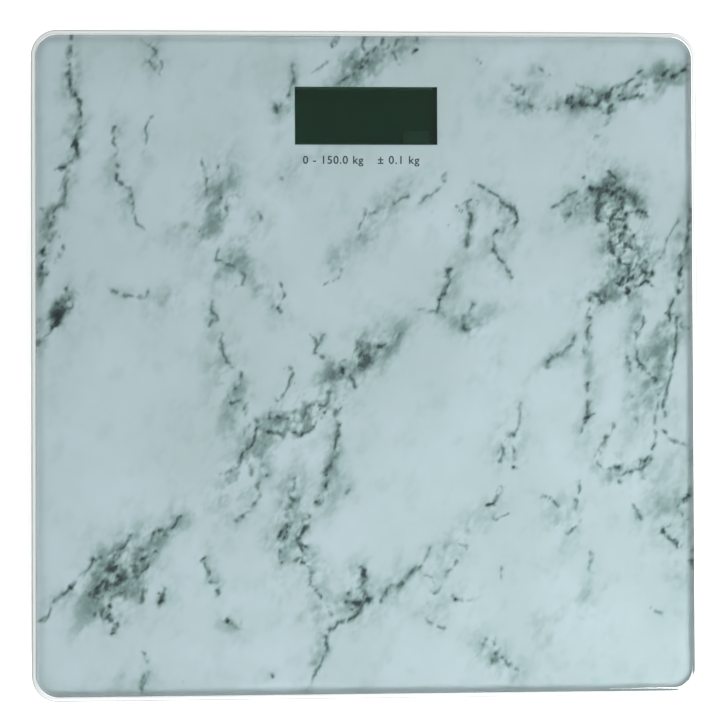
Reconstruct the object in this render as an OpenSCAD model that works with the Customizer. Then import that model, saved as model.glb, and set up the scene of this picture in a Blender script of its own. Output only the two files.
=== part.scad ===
// Electronic bathroom scale. A tempered glass platform with a marble print on its
// underside is bonded to a shallow plastic housing, which stands on four feet.
// Each foot presses the tongue of a steel load cell. The display, the circuit
// board, two AAA cells and the wiring lie inside the housing.
// X runs across the scale, +Y points at the display end and Z is up. The origin
// is on the floor, below the middle of the platform.

/* [Platform] */
// Width of the glass, across the scale
platform_w = 280; // [230:1:340]
// Depth of the glass, front to display end
platform_d = 280; // [230:1:340]
// Thickness of the glass
glass_t = 5; // [4.5:0.5:8]
// Radius of the glass corners, seen from above
glass_corner_r = 11; // [6:1:30]
// Radius of the ground edge, top and bottom
glass_edge_r = 2.2; // [1:0.1:2.4]
// Thickness of the printed film
film_t = 0.2; // [0.1:0.1:0.4]
// Clear glass left around the print
film_border = 2.3; // [1:0.1:10]

/* [Display] */
// Width of the display window
window_w = 60; // [50:1:80]
// Height of the display window, along the depth of the scale
window_d = 24.4; // [18:0.1:26]
// Clear distance from the rear edge of the glass to the window
window_from_edge = 23.3; // [22:0.1:30]
// Thickness of the liquid crystal panel
lcd_t = 2; // [1.5:0.1:2.4]
// How far the panel passes the window on each side
lcd_margin = 3; // [2.5:0.1:3.4]
// Thickness of the backlight
backlight_t = 2.6; // [2:0.1:3]

/* [Housing] */
// How far the housing stands in from the edge of the glass
housing_inset = 6; // [4:0.5:7]
// Radius of the housing corners, seen from above
housing_corner_r = 12; // [8:1:16]
// Radius of the housing's lower edge
housing_edge_r = 4; // [2.5:0.5:5]
// Height of the housing above the floor
ground_gap = 4; // [3:0.5:6]
// Thickness of the cover's side wall
wall_t = 2; // [1.6:0.1:2.2]
// Thickness of the cover's floor
floor_t = 2; // [2:0.1:3]
// Thickness of the upper frame's plate
frame_t = 2; // [1.5:0.1:3]
// Thickness of the foam tape under the glass
tape_t = 0.8; // [0.5:0.1:1]
// Width of the foam tape
tape_w = 8; // [5:0.5:9]
// Distance between the two screws of one side
side_screw_gap = 124; // [60:1:130]

/* [Feet and load cells] */
// Distance from the edge of the glass to the middle of a foot
foot_inset = 36; // [34:0.5:45]
// Diameter of a foot
foot_d = 36; // [30:0.5:44]
// Upward travel of a foot as its load cell bends
foot_travel = 0.6; // [0.2:0.1:0.9]
// Diameter of a rubber pad
pad_d = 30; // [22:0.5:32]
// Side of the square load cell
load_cell_w = 34; // [30:0.5:35]
// Thickness of the load cell's steel plate
load_cell_t = 2; // [1.2:0.1:2.5]

/* [Battery bay] */
// Diameter of an AAA cell
battery_d = 10.5; // [10.5:0.1:13]
// Length of an AAA cell, with its cap
battery_len = 44.5; // [40:0.5:54]
// Distance of the bay's middle from the middle of the scale
bay_y = 20; // [0:1:30]
// Thickness of the battery door
door_t = 1.6; // [1.2:0.1:1.8]

/* [Circuit board and unit button] */
// Depth of the circuit board
board_d = 44; // [40:1:50]
// Thickness of the circuit board
board_t = 1.2; // [0.8:0.1:1.6]
// Diameter of the unit button
button_d = 11.6; // [8:0.2:13]
// Distance of the unit button from the middle line of the scale
button_x = 12; // [10:1:14]
// Travel of the unit button
button_travel = 0.5; // [0.2:0.1:0.7]

/* [Hidden] */
$fn = 64;
over = 1;                       // how far a cut runs past what it cuts
bend_share = 0.45;              // most of a leg that one bend of a wire takes
steep = 0.9;                    // a wire that starts steeper than this counts as upright

// Battery cells and their bay
battery_gap = 0.5;              // between the two cells
battery_headroom = 0.3;         // above and below a cell
battery_cap_d = 3.8;
battery_cap_len = 1;
spring_room = 6.7;              // length that a compressed contact spring takes
contact_t = 0.4;
contact_w = 8;
bay_wall = 2;
bay_fit = 0.35;                 // beside a cell
fence_t = 1.2;                  // ribs that hold the cells in line
fence_lift = 1.6;               // gap below the ribs, for the hinge barrel

// Levels, from the floor up
floor_z = ground_gap + floor_t;
split_z = floor_z + battery_d + battery_headroom;
frame_top = split_z + frame_t;
film_z = frame_top + tape_t;
glass_z = film_z + film_t;

// Display stack, from the glass down
lcd_gap = 0.4;
polariser_t = 0.2;
polariser_margin = 1;
lcd_clear = 0.2;
holder_wall = 2;
holder_web = 0.7;
holder_fit = 0.3;
zebra_w = 1.8;
zebra_from_edge = 0.3;
zebra_inset = 3;
window_y = platform_d / 2 - window_from_edge - window_d / 2;
lcd_w = window_w + 2 * lcd_margin;
lcd_d = window_d + 2 * lcd_margin;
lcd_z = glass_z - lcd_gap - polariser_t - lcd_t;
backlight_z = lcd_z - backlight_t;
backlight_d = lcd_d - 2 * (zebra_w + 2 * zebra_from_edge);
holder_w = lcd_w + 2 * (lcd_clear + holder_wall);
holder_d = lcd_d + 2 * (lcd_clear + holder_wall);
board_top = backlight_z - holder_web;

// Circuit board
board_margin = 7.8;             // beside the display holder
board_corner_r = 2;
board_w = holder_w + 2 * board_margin;
board_y = window_y + holder_d / 2 - board_d / 2;
board_z = board_top - board_t;
board_front = board_y - board_d / 2;
board_screw_in = [3.5, 4];      // screw axis to the board's side and to its end
board_screw_x = board_w / 2 - board_screw_in[0];
board_screw_dy = board_d / 2 - board_screw_in[1];
board_screw_r = 1;
board_screw_len = 3.6;
board_screw_head_r = 2.1;
board_screw_head_t = 1.5;
board_hole_r = 1.2;
board_post_r = 2.5;
blob_r = 5.5;
blob_h = 1.6;
resistor = [2, 1.2, 0.6];
resistor_pitch = 3.2;
resistor_rows = [[12, 10, 6], [-30, -9, 4]];   // first one's place on the board, and how many
driver_chip = [10, 6, 1.7];
driver_x = -20;
capacitor_r = 2.5;
capacitor_h = 4.6;
capacitor_at = [[-14, 12], [-6, 12]];

// Unit switch and button
switch_w = 6;
switch_h = 3.4;
switch_from_edge = 6;           // middle of the switch to the board's front edge
plunger_r = 1.75;
plunger_fit = 0.08;
plunger_proud = 0.8;
plunger_sunk = 1;
switch_y = board_front + switch_from_edge;
switch_z = board_z - switch_h;
plunger_z = switch_z - plunger_proud;
button_recess = 0.3;            // below the cover's face, so the floor never presses it
button_fit = 0.3;
button_flange = 1.8;
button_flange_t = 1;
button_rest = 0.05;             // gap between the flange and the cover
button_stem_r = 2.5;
button_dish_r = 14;             // the cap's face is a shallow dish
button_dish_depth = 0.5;
guide_fit = 0.4;
guide_t = 1.5;
guide_h = 2;

// Housing
housing_w = platform_w - 2 * housing_inset;
housing_d = platform_d - 2 * housing_inset;
tape_inset = 2;
lip_fit = 0.2;
lip_t = 1.2;
lip_h = 2;
rib_t = 1.6;
rib_h = 3.5;
rib_pitch = 40;
rib_gap = 12;                   // clear of the bay and of the wires
long_ribs = 4;
frame_rib_h = 3;
screw_edge = 8;                 // housing side to a side screw
centre_screw_x = 50;
post_r = 3.5;
boss_r = 3.2;
boss_len = 4.8;
screw_r = 1.25;
screw_fit = 0.05;
screw_clear = 0.4;
screw_head_r = 2.8;
screw_head_t = 2;
screw_sink = 3.5;               // cover's face to the seat of the screw head
screw_sink_r = 3;
screw_end_gap = 0.8;
slot_t = 0.9;                   // cross recess of a screw head
slot_w = 3.4;
slot_depth = 1.2;
label_w = 60;
label_d = 36;
label_t = 0.2;
label_sink = 0.3;
label_fit = 0.3;
label_y = -64;
SIDE_SCREWS = [
    for (s = [-1, 1], t = [-1, 1]) [s * side_screw_gap / 2, t * (housing_d / 2 - screw_edge)],
    for (s = [-1, 1], t = [-1, 1]) [s * (housing_w / 2 - screw_edge), t * side_screw_gap / 2],
    for (s = [-1, 1]) [s * centre_screw_x, 0]
];

// Feet and load cells
foot_x = platform_w / 2 - foot_inset;
foot_y = platform_d / 2 - foot_inset;
foot_gap = 1.2;
foot_headroom = 0.4;            // above a foot at the top of its travel
foot_base_z = 0.9;              // the pad stands this proud of the foot
foot_top_z = floor_z - foot_travel - foot_headroom;
foot_round = 1.5;
rib_reach = foot_x - rib_gap;
pad_sink = 1.1;
pad_fit = 0.1;
pad_round = 0.8;
pad_groove = 1;
pad_groove_pitch = 3;
pad_groove_depth = 0.5;
well_wall = 2;
well_r = foot_d / 2 + foot_gap + well_wall;
well_web = 1.6;
post_hole_r = 6;
foot_post_r = 4.5;
foot_pin_r = 1.9;
foot_pin_top = 1.2;             // pin above the tongue
load_cell_lift = 4;             // above the cover's floor
load_cell_z = floor_z + load_cell_lift;
load_cell_top = load_cell_z + load_cell_t;
load_cell_r = 3;
load_cell_fit = 0.3;
load_cell_rim = 3;              // width of the ledge and of the ring that grip the plate
seat_wall = 2;
seat_w = load_cell_w + 2 * (load_cell_fit + seat_wall);
slit = 2;                       // slots that free the tongue
tongue_w = 18;
tongue_len = 22;
tongue_hole_r = 2.1;
sealant = [11, 6, 2];
sealant_r = 1.5;
sealant_from = 6.5;             // middle of the cell to the sealant
clip_r = 4;
clip_t = 0.5;
clip_gap = 0.1;
FOOT_AT = [[-foot_x, -foot_y, 0], [foot_x, -foot_y, 0],
    [-foot_x, foot_y, -90], [foot_x, foot_y, 90]];   // x, y and turn of each corner

// Bay, across the scale from its middle line and along Y from bay_y
bay_w = battery_len + spring_room + 2 * contact_t;
battery_side = (battery_d + battery_gap) / 2;
fence_at = battery_side + battery_d / 2 + bay_fit;
battery_z = floor_z + battery_headroom / 2 + battery_d / 2;
hinge_r = 1.5;
hinge_pin_r = 1;
hinge_fit = 0.05;
hinge_pin_len = 1.5;
hinge_beside = 1.7;             // barrel axis to the rib
door_gap = 0.3;
hinge_v = -(fence_at + fence_t + hinge_beside);
hinge_z = ground_gap + hinge_r;
bay_low = hinge_v - hinge_r - door_gap;
latch_room = 2.7;
bay_high = fence_at + fence_t + latch_room;
latch_w = 12;
latch_t = 1;
latch_from = 0.5;
latch_h = 4;
latch_nose = 0.5;
latch_nose_t = 1;
latch_nose_drop = 0.4;
latch_nose_z = ground_gap + door_t + latch_h - latch_nose_drop - latch_nose_t;
catch_t = 0.35;
catch_h = 0.8;
catch_gap = 0.2;
grip_count = 5;
grip_pitch = 1.8;
grip_w = 18;
grip_depth = 0.5;
grip_t = 0.7;
grip_from_edge = 4;
arrow_r = 3;                    // engraved triangle that shows which way the door opens
arrow_from_hinge = 10;
arrow_depth = 0.4;
tab_w = 3;
tab_len = 2;
tab_up = 1.8;
tab_fit = 0.3;

// Wires
wire_r = 0.5;
wire_pitch = 1.5;
wire_floor_gap = 0.1;
wire_lane_z = floor_z + wire_r + wire_floor_gap;
wire_exit_drop = 1.4;           // load cell's underside to the wires
wire_exit_z = load_cell_z - wire_exit_drop;
wire_clear = 1;
wire_out = max(seat_w / 2, well_r) + wire_clear;   // middle of a foot to where its wires dip
wire_run = 3;                   // length over which they reach the lane
wire_slot_w = 6;
wire_slot_h = 2;
wire_bend = 3;
wire_sides = 6;
wire_steps = 4;
wire_lane_gap = 6;              // lane to the board's front edge
wire_lane_y = board_front - wire_lane_gap;
wire_up_x = 34;
wire_in = 3;                    // solder joint to the board's side
wire_turn = 5;                  // where a rear wire starts to rise
wire_rise = [2, 3];             // first step up of a rear wire and of a front one
wire_under = [2, 5];            // past the board's front edge: start of the rise, solder joint
battery_wire_r = 0.6;
battery_lane = 3;               // bay wall to the first battery wire
battery_up_x = 26;
battery_wire_gap = 2;
battery_turn = [12, 5];         // before the lane: start and end of the way across

// Contact springs
spring_wire_r = 0.3;
spring_base_r = 4;
spring_tip_r = 2.2;
spring_turns = 4;
spring_steps = 14;

housing_color = [0.93, 0.93, 0.92];
steel_color = [0.72, 0.73, 0.74];

// ---------------------------------------------------------------- shared shapes

// Flat rectangle with round corners, centred
module round_rect(w, d, r) {
    square([w - 2 * r, d], center = true);
    square([w, d - 2 * r], center = true);
    for (sx = [-1, 1], sy = [-1, 1])
        translate([sx * (w / 2 - r), sy * (d / 2 - r)])
            circle(r);
}

// Half section of a slab's rim, from a corner's axis out to the side
module rim_section(reach, h, r_low, r_high) {
    square([reach - max(r_low, r_high), h]);
    translate([0, r_low])
        square([reach, h - r_low - r_high]);
    if (r_low > 0)
        translate([reach - r_low, r_low])
            circle(r_low);
    if (r_high > 0)
        translate([reach - r_high, h - r_high])
            circle(r_high);
}

// Slab with round corners and round lower and upper edges, standing on z = 0
module rim_slab(w, d, h, corner_r, r_low, r_high) {
    long = [w - 2 * corner_r, d - 2 * corner_r];
    translate([-long[0] / 2, -long[1] / 2, 0])
        cube([long[0], long[1], h]);
    for (side = [0 : 3]) {
        run = side % 2 == 0 ? long[1] : long[0];
        off = side % 2 == 0 ? long[0] / 2 : long[1] / 2;
        rotate([0, 0, side * 90])
            translate([off, run / 2, 0])
                rotate([90, 0, 0])
                    linear_extrude(run)
                        rim_section(corner_r, h, r_low, r_high);
    }
    for (turn = [0 : 3]) {
        sx = turn == 0 || turn == 3 ? 1 : -1;
        sy = turn < 2 ? 1 : -1;
        translate([sx * long[0] / 2, sy * long[1] / 2, 0])
            rotate([0, 0, turn * 90])
                rotate_extrude(angle = 90)
                    rim_section(corner_r, h, r_low, r_high);
    }
}

// Block given by its middle, its size and the levels of its two faces
module block(x, y, w, d, low, high) {
    translate([x - w / 2, y - d / 2, low])
        cube([w, d, high - low]);
}

// Upright cylinder given by its axis and the levels of its two faces
module post(x, y, r, low, high) {
    translate([x, y, low])
        cylinder(r = r, h = high - low);
}

// Draws its children at one corner of the scale, turned so that +Y is the wires' way out
module at_corner(corner) {
    translate([corner[0], corner[1], 0])
        rotate([0, 0, corner[2]])
            children();
}

// ---------------------------------------------------------------- wires and coils

function unit(v) = v / norm(v);

// Way points with each inner corner replaced by a curve
function curved(points, bend, steps) = [
    points[0],
    for (i = [1 : len(points) - 2])
        let (
            into = points[i - 1] - points[i],
            away = points[i + 1] - points[i],
            reach = min(bend, norm(into) * bend_share, norm(away) * bend_share),
            a = points[i] + reach * unit(into),
            b = points[i] + reach * unit(away)
        )
        for (k = [0 : steps])
            let (t = k / steps)
                (1 - t) * (1 - t) * a + 2 * t * (1 - t) * points[i] + t * t * b,
    points[len(points) - 1]
];

// Direction of a path at each of its points
function headings(path) = [
    for (i = [0 : len(path) - 1])
        unit(path[min(i + 1, len(path) - 1)] - path[max(i - 1, 0)])
];

// A side direction carried along the path without twisting
function sides(along, i, last) =
    i >= len(along) ? [] :
    let (next = unit(last - (last * along[i]) * along[i]))
        concat([next], sides(along, i + 1, next));

// Round wire along a path
module wire(path, r, count) {
    along = headings(path);
    start = abs(along[0][2]) < steep ? [0, 0, 1] : [1, 0, 0];
    side = sides(along, 0, start);
    points = [
        for (i = [0 : len(path) - 1])
            let (up = cross(along[i], side[i]))
                for (k = [0 : count - 1])
                    path[i] + r * (cos(360 * k / count) * side[i] + sin(360 * k / count) * up)
    ];
    rings = len(path);
    polyhedron(points = points, faces = concat(
        [[for (k = [0 : count - 1]) k]],
        [[for (k = [count - 1 : -1 : 0]) (rings - 1) * count + k]],
        [
            for (i = [0 : rings - 2], k = [0 : count - 1])
                let (n = (k + 1) % count)
                    [i * count + k, (i + 1) * count + k, (i + 1) * count + n, i * count + n]
        ]
    ));
}

// ---------------------------------------------------------------- platform

module glass_platform() {
    color([0.82, 0.93, 0.90, 0.45])
        translate([0, 0, glass_z])
            rim_slab(platform_w, platform_d, glass_t, glass_corner_r, glass_edge_r, glass_edge_r);
}

module printed_film() {
    film_w = platform_w - 2 * film_border;
    film_d = platform_d - 2 * film_border;
    color([0.70, 0.79, 0.79])
        translate([0, 0, film_z])
            linear_extrude(film_t)
                difference() {
                    round_rect(film_w, film_d, glass_corner_r - film_border);
                    translate([0, window_y])
                        square([window_w, window_d], center = true);
                }
}

module foam_tape() {
    outer_w = housing_w - 2 * tape_inset;
    outer_d = housing_d - 2 * tape_inset;
    corner = housing_corner_r - tape_inset;
    opening = [holder_w + 2 * holder_fit, holder_d + 2 * holder_fit];
    color([0.90, 0.90, 0.88])
        translate([0, 0, frame_top])
            linear_extrude(tape_t)
                difference() {
                    union() {
                        difference() {
                            round_rect(outer_w, outer_d, corner);
                            square([outer_w - 2 * tape_w, outer_d - 2 * tape_w], center = true);
                        }
                        translate([0, window_y])
                            square([opening[0] + 2 * tape_w, opening[1] + 2 * tape_w], center = true);
                    }
                    translate([0, window_y])
                        square(opening, center = true);
                    // the ring round the display ends at the outer edge of the tape
                    translate([-outer_w / 2, outer_d / 2])
                        square([outer_w, tape_w + over]);
                }
}

// ---------------------------------------------------------------- housing

module frame_lip() {
    w = housing_w - 2 * (wall_t + lip_fit);
    d = housing_d - 2 * (wall_t + lip_fit);
    r = housing_corner_r - wall_t - lip_fit;
    translate([0, 0, split_z - lip_h])
        linear_extrude(lip_h)
            difference() {
                round_rect(w, d, r);
                round_rect(w - 2 * lip_t, d - 2 * lip_t, r - lip_t);
            }
}

module top_frame() {
    press_w = load_cell_w - 2 * load_cell_fit;
    press_in = load_cell_w - 2 * load_cell_rim;
    opening = [holder_w + 2 * holder_fit, holder_d + 2 * holder_fit];
    color(housing_color)
        difference() {
            union() {
                translate([0, 0, split_z])
                    linear_extrude(frame_t)
                        round_rect(housing_w, housing_d, housing_corner_r);
                frame_lip();
                for (c = FOOT_AT)
                    block(c[0], c[1], press_w, press_w, load_cell_top, split_z);
                for (s = SIDE_SCREWS)
                    post(s[0], s[1], boss_r, split_z - boss_len, split_z);
                for (sx = [-1, 1], sy = [-1, 1])
                    post(sx * board_screw_x, board_y + sy * board_screw_dy, board_post_r,
                        board_top, split_z);
                for (y = [-foot_y + rib_pitch / 2 : rib_pitch : bay_y + bay_low - rib_gap])
                    block(0, y, 2 * rib_reach, rib_t, split_z - frame_rib_h, split_z);
            }
            for (c = FOOT_AT)
                block(c[0], c[1], press_in, press_in, load_cell_top - over, split_z);
            for (s = SIDE_SCREWS)
                post(s[0], s[1], screw_r + screw_fit, split_z - boss_len - over, split_z);
            for (sx = [-1, 1], sy = [-1, 1])
                post(sx * board_screw_x, board_y + sy * board_screw_dy, board_screw_r + screw_fit,
                    board_top - over, split_z);
            block(0, window_y, opening[0], opening[1], split_z - over, frame_top + over);
        }
}

module cover_shell() {
    difference() {
        translate([0, 0, ground_gap])
            rim_slab(housing_w, housing_d, split_z - ground_gap, housing_corner_r,
                housing_edge_r, 0);
        translate([0, 0, floor_z])
            rim_slab(housing_w - 2 * wall_t, housing_d - 2 * wall_t, split_z - floor_z + over,
                housing_corner_r - wall_t, housing_edge_r - wall_t, 0);
    }
}

module cover_ribs() {
    front = -housing_d / 2 + housing_edge_r + wall_t;
    back = bay_y + bay_low - rib_gap;
    for (y = [-foot_y : rib_pitch : back])
        block(0, y, 2 * rib_reach, rib_t, floor_z, floor_z + rib_h);
    for (i = [0 : long_ribs - 1])
        translate([(i - (long_ribs - 1) / 2) * rib_pitch - rib_t / 2, front, floor_z])
            cube([rib_t, back - front, rib_h]);
}

// What the four wells add to the cover, and what they take away
module well_solid() {
    post(0, 0, well_r, ground_gap, floor_z + well_web);
    block(0, 0, seat_w, seat_w, floor_z, load_cell_top);
}

module well_cut() {
    pocket = load_cell_w + 2 * load_cell_fit;
    hollow = load_cell_w - 2 * load_cell_rim;
    post(0, 0, well_r - well_wall, ground_gap - over, floor_z);
    post(0, 0, post_hole_r, ground_gap, floor_z + well_web + over);
    block(0, 0, pocket, pocket, load_cell_z, load_cell_top + over);
    block(0, 0, hollow, hollow, floor_z + well_web, load_cell_z + over);
    block(0, seat_w / 2, wire_slot_w, seat_w / 2, floor_z + well_web, floor_z + well_web + wire_slot_h);
}

// What the battery bay adds and takes away; bay_y is at v = 0
module bay_solid() {
    d = bay_high - bay_low + 2 * bay_wall;
    block(0, (bay_high + bay_low) / 2, bay_w + 2 * bay_wall, d, floor_z, split_z);
}

module bay_cut() {
    d = bay_high - bay_low;
    block(0, (bay_high + bay_low) / 2, bay_w, d, ground_gap - over, split_z + over);
    translate([-bay_w / 2 - hinge_pin_len, hinge_v, hinge_z])
        rotate([0, 90, 0])
            cylinder(r = hinge_pin_r + hinge_fit, h = bay_w + 2 * hinge_pin_len);
    for (s = [-1, 1])
        translate([bay_w / 2 - over, s * battery_side - tab_w / 2 - tab_fit, battery_z + tab_up - tab_fit])
            cube([bay_wall + 2 * over, tab_w + 2 * tab_fit, contact_t + 2 * tab_fit]);
}

module bay_fences() {
    for (s = [-1, 1])
        translate([-bay_w / 2, s * (fence_at + fence_t / 2) - fence_t / 2, floor_z + fence_lift])
            cube([bay_w, fence_t, split_z - floor_z - fence_lift]);
    translate([-latch_w / 2, bay_high - catch_t, latch_nose_z - catch_gap - catch_h])
        cube([latch_w, catch_t, catch_h]);
}

module bottom_cover() {
    color(housing_color)
        union() {
            difference() {
                union() {
                    cover_shell();
                    cover_ribs();
                    for (c = FOOT_AT)
                        at_corner(c)
                            well_solid();
                    translate([0, bay_y, 0])
                        bay_solid();
                    for (s = SIDE_SCREWS)
                        post(s[0], s[1], post_r, ground_gap, split_z - boss_len);
                    post(button_x, switch_y, button_d / 2 + button_flange + guide_fit + guide_t,
                        floor_z, floor_z + guide_h);
                }
                for (c = FOOT_AT)
                    at_corner(c)
                        well_cut();
                translate([0, bay_y, 0])
                    bay_cut();
                for (s = SIDE_SCREWS) {
                    post(s[0], s[1], screw_r + screw_clear, ground_gap, split_z);
                    post(s[0], s[1], screw_sink_r, ground_gap - over, ground_gap + screw_sink);
                }
                post(button_x, switch_y, button_d / 2 + button_fit, ground_gap - over, split_z);
                post(button_x, switch_y, button_d / 2 + button_flange + guide_fit,
                    floor_z, split_z);
                block(0, label_y, label_w + 2 * label_fit, label_d + 2 * label_fit,
                    ground_gap - over, ground_gap + label_sink);
            }
            translate([0, bay_y, 0])
                bay_fences();
        }
}

module screw(r, length, head_r, head_t) {
    difference() {
        union() {
            cylinder(r = r, h = length);
            translate([0, 0, -head_t])
                cylinder(r = head_r, h = head_t);
        }
        for (turn = [0, 90])
            rotate([0, 0, turn])
                translate([-slot_w / 2, -slot_t / 2, -head_t - over])
                    cube([slot_w, slot_t, slot_depth + over]);
    }
}

module housing_screws() {
    seat = ground_gap + screw_sink;
    color(steel_color)
        for (s = SIDE_SCREWS)
            translate([s[0], s[1], seat])
                screw(screw_r, split_z - screw_end_gap - seat, screw_head_r, screw_head_t);
}

module rating_label() {
    color([0.80, 0.80, 0.81])
        block(0, label_y, label_w, label_d, ground_gap + label_sink - label_t,
            ground_gap + label_sink);
}

// ---------------------------------------------------------------- display

module lcd_panel() {
    color([0.20, 0.30, 0.26])
        block(0, window_y, lcd_w, lcd_d, lcd_z, lcd_z + lcd_t);
}

module lcd_polariser() {
    color([0.13, 0.20, 0.16])
        block(0, window_y, window_w + 2 * polariser_margin, window_d + 2 * polariser_margin,
            lcd_z + lcd_t, lcd_z + lcd_t + polariser_t);
}

module backlight_panel() {
    color([0.95, 0.96, 0.95])
        block(0, window_y, lcd_w, backlight_d, backlight_z, lcd_z);
}

module zebra_strips() {
    color([0.25, 0.25, 0.27])
        for (s = [-1, 1])
            block(0, window_y + s * (lcd_d / 2 - zebra_from_edge - zebra_w / 2),
                lcd_w - 2 * zebra_inset, zebra_w, board_top, lcd_z);
}

module lcd_holder() {
    color([0.12, 0.13, 0.13])
        difference() {
            block(0, window_y, holder_w, holder_d, board_top, lcd_z + lcd_t);
            block(0, window_y, lcd_w + 2 * lcd_clear, lcd_d + 2 * lcd_clear, lcd_z,
                lcd_z + lcd_t + over);
            block(0, window_y, lcd_w + 2 * lcd_clear, backlight_d + lcd_clear, backlight_z,
                lcd_z + over);
            for (s = [-1, 1])
                block(0, window_y + s * (lcd_d / 2 - zebra_from_edge - zebra_w / 2),
                    lcd_w - 2 * zebra_inset + lcd_clear, zebra_w + lcd_clear,
                    board_top - over, lcd_z + over);
        }
}

// ---------------------------------------------------------------- electronics

module circuit_board() {
    color([0.10, 0.42, 0.24])
        difference() {
            translate([0, board_y, board_z])
                linear_extrude(board_t)
                    round_rect(board_w, board_d, board_corner_r);
            for (sx = [-1, 1], sy = [-1, 1])
                post(sx * board_screw_x, board_y + sy * board_screw_dy, board_hole_r,
                    board_z - over, board_top + over);
        }
}

module board_screws() {
    color(steel_color)
        for (sx = [-1, 1], sy = [-1, 1])
            translate([sx * board_screw_x, board_y + sy * board_screw_dy, board_z])
                screw(board_screw_r, board_screw_len, board_screw_head_r, board_screw_head_t);
}

// Low dome of black resin over the controller chip
module chip_blob() {
    ball_r = (blob_r * blob_r + blob_h * blob_h) / (2 * blob_h);
    color([0.07, 0.07, 0.07])
        intersection() {
            translate([0, board_y, board_z - blob_h + ball_r])
                sphere(ball_r);
            post(0, board_y, blob_r + over, board_z - blob_h - over, board_z);
        }
}

module board_parts() {
    color([0.20, 0.20, 0.22]) {
        block(driver_x, board_y, driver_chip[0], driver_chip[1], board_z - driver_chip[2], board_z);
        for (row = resistor_rows, i = [0 : row[2] - 1])
            block(row[0] + i * resistor_pitch, board_y + row[1], resistor[0], resistor[1],
                board_z - resistor[2], board_z);
        for (at = capacitor_at)
            post(at[0], board_y + at[1], capacitor_r, board_z - capacitor_h, board_z);
    }
}

module unit_switch() {
    bore = plunger_r + plunger_fit;
    color([0.16, 0.16, 0.17])
        difference() {
            block(button_x, switch_y, switch_w, switch_w, switch_z, board_z);
            post(button_x, switch_y, bore, switch_z - over,
                switch_z + plunger_sunk + button_travel + plunger_fit);
        }
}

module switch_plunger() {
    color([0.35, 0.20, 0.16])
        post(button_x, switch_y, plunger_r, plunger_z, switch_z + plunger_sunk);
}

module unit_button() {
    low = ground_gap + button_recess;
    flange_z = floor_z + button_rest;
    color([0.30, 0.32, 0.34])
        difference() {
            union() {
                post(button_x, switch_y, button_d / 2, low, flange_z);
                post(button_x, switch_y, button_d / 2 + button_flange, flange_z,
                    flange_z + button_flange_t);
                post(button_x, switch_y, button_stem_r, flange_z + button_flange_t, plunger_z);
            }
            translate([button_x, switch_y, low + button_dish_depth - button_dish_r])
                sphere(button_dish_r);
        }
}

// ---------------------------------------------------------------- batteries

module battery_cell(side) {
    turn = side > 0 ? 0 : 180;
    body_len = battery_len - battery_cap_len;
    tip = bay_w / 2 - contact_t;
    translate([0, bay_y + side * battery_side, battery_z])
        rotate([0, 0, turn])
            translate([tip - battery_len, 0, 0])
                rotate([0, 90, 0]) {
                    cylinder(d = battery_d, h = body_len);
                    translate([0, 0, body_len])
                        cylinder(d = battery_cap_d, h = battery_cap_len);
                }
}

module battery_cell_rear() {
    color([0.30, 0.32, 0.35])
        battery_cell(1);
}

module battery_cell_front() {
    color([0.30, 0.32, 0.35])
        battery_cell(-1);
}

// Conical springs, on the flat end of each cell
module contact_springs() {
    steps = spring_turns * spring_steps;
    color(steel_color)
        for (side = [-1, 1])
            translate([0, bay_y + side * battery_side, battery_z])
                rotate([0, 0, side > 0 ? 180 : 0])
                    wire([
                        for (i = [0 : steps])
                            let (
                                t = i / steps,
                                r = spring_base_r + (spring_tip_r - spring_base_r) * t,
                                x = bay_w / 2 - contact_t - spring_wire_r
                                    - (spring_room - 2 * spring_wire_r) * t,
                                turn = 360 * i / spring_steps
                            )
                            [x, r * cos(turn), r * sin(turn)]
                    ], spring_wire_r, wire_sides);
}

module contact_plates() {
    x = bay_w / 2;
    color(steel_color)
        for (s = [-1, 1])
            translate([0, bay_y + s * battery_side, battery_z]) {
                translate([x - contact_t, -contact_w / 2, -contact_w / 2])
                    cube([contact_t, contact_w, contact_w]);
                translate([x - contact_t, -tab_w / 2, tab_up])
                    cube([contact_t + bay_wall + tab_len, tab_w, contact_t]);
            }
}

module contact_bridge() {
    span = 2 * battery_side + contact_w;
    color(steel_color)
        translate([-bay_w / 2, bay_y - span / 2, battery_z - contact_w / 2])
            cube([contact_t, span, contact_w]);
}

module battery_door() {
    w = bay_w - 2 * door_gap;
    inner = ground_gap + door_t;
    far = bay_high - door_gap;
    latch_v = fence_at + fence_t + latch_from;
    color(housing_color)
        translate([0, bay_y, 0])
            difference() {
                union() {
                    translate([-w / 2, hinge_v, ground_gap])
                        cube([w, far - hinge_v, door_t]);
                    translate([-w / 2, hinge_v, hinge_z])
                        rotate([0, 90, 0])
                            cylinder(r = hinge_r, h = w);
                    translate([-bay_w / 2 - hinge_pin_len + door_gap, hinge_v, hinge_z])
                        rotate([0, 90, 0])
                            cylinder(r = hinge_pin_r, h = bay_w + 2 * (hinge_pin_len - door_gap));
                    translate([-latch_w / 2, latch_v, inner])
                        cube([latch_w, latch_t, latch_h]);
                    translate([-latch_w / 2, latch_v, latch_nose_z])
                        cube([latch_w, latch_t + latch_nose, latch_nose_t]);
                }
                for (i = [0 : grip_count - 1])
                    translate([-grip_w / 2, far - grip_from_edge - i * grip_pitch, ground_gap - over])
                        cube([grip_w, grip_t, grip_depth + over]);
                translate([0, hinge_v + arrow_from_hinge, ground_gap - over])
                    rotate([0, 0, 90])
                        cylinder(r = arrow_r, h = arrow_depth + over, $fn = 3);
            }
}

// ---------------------------------------------------------------- feet and load cells

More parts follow.
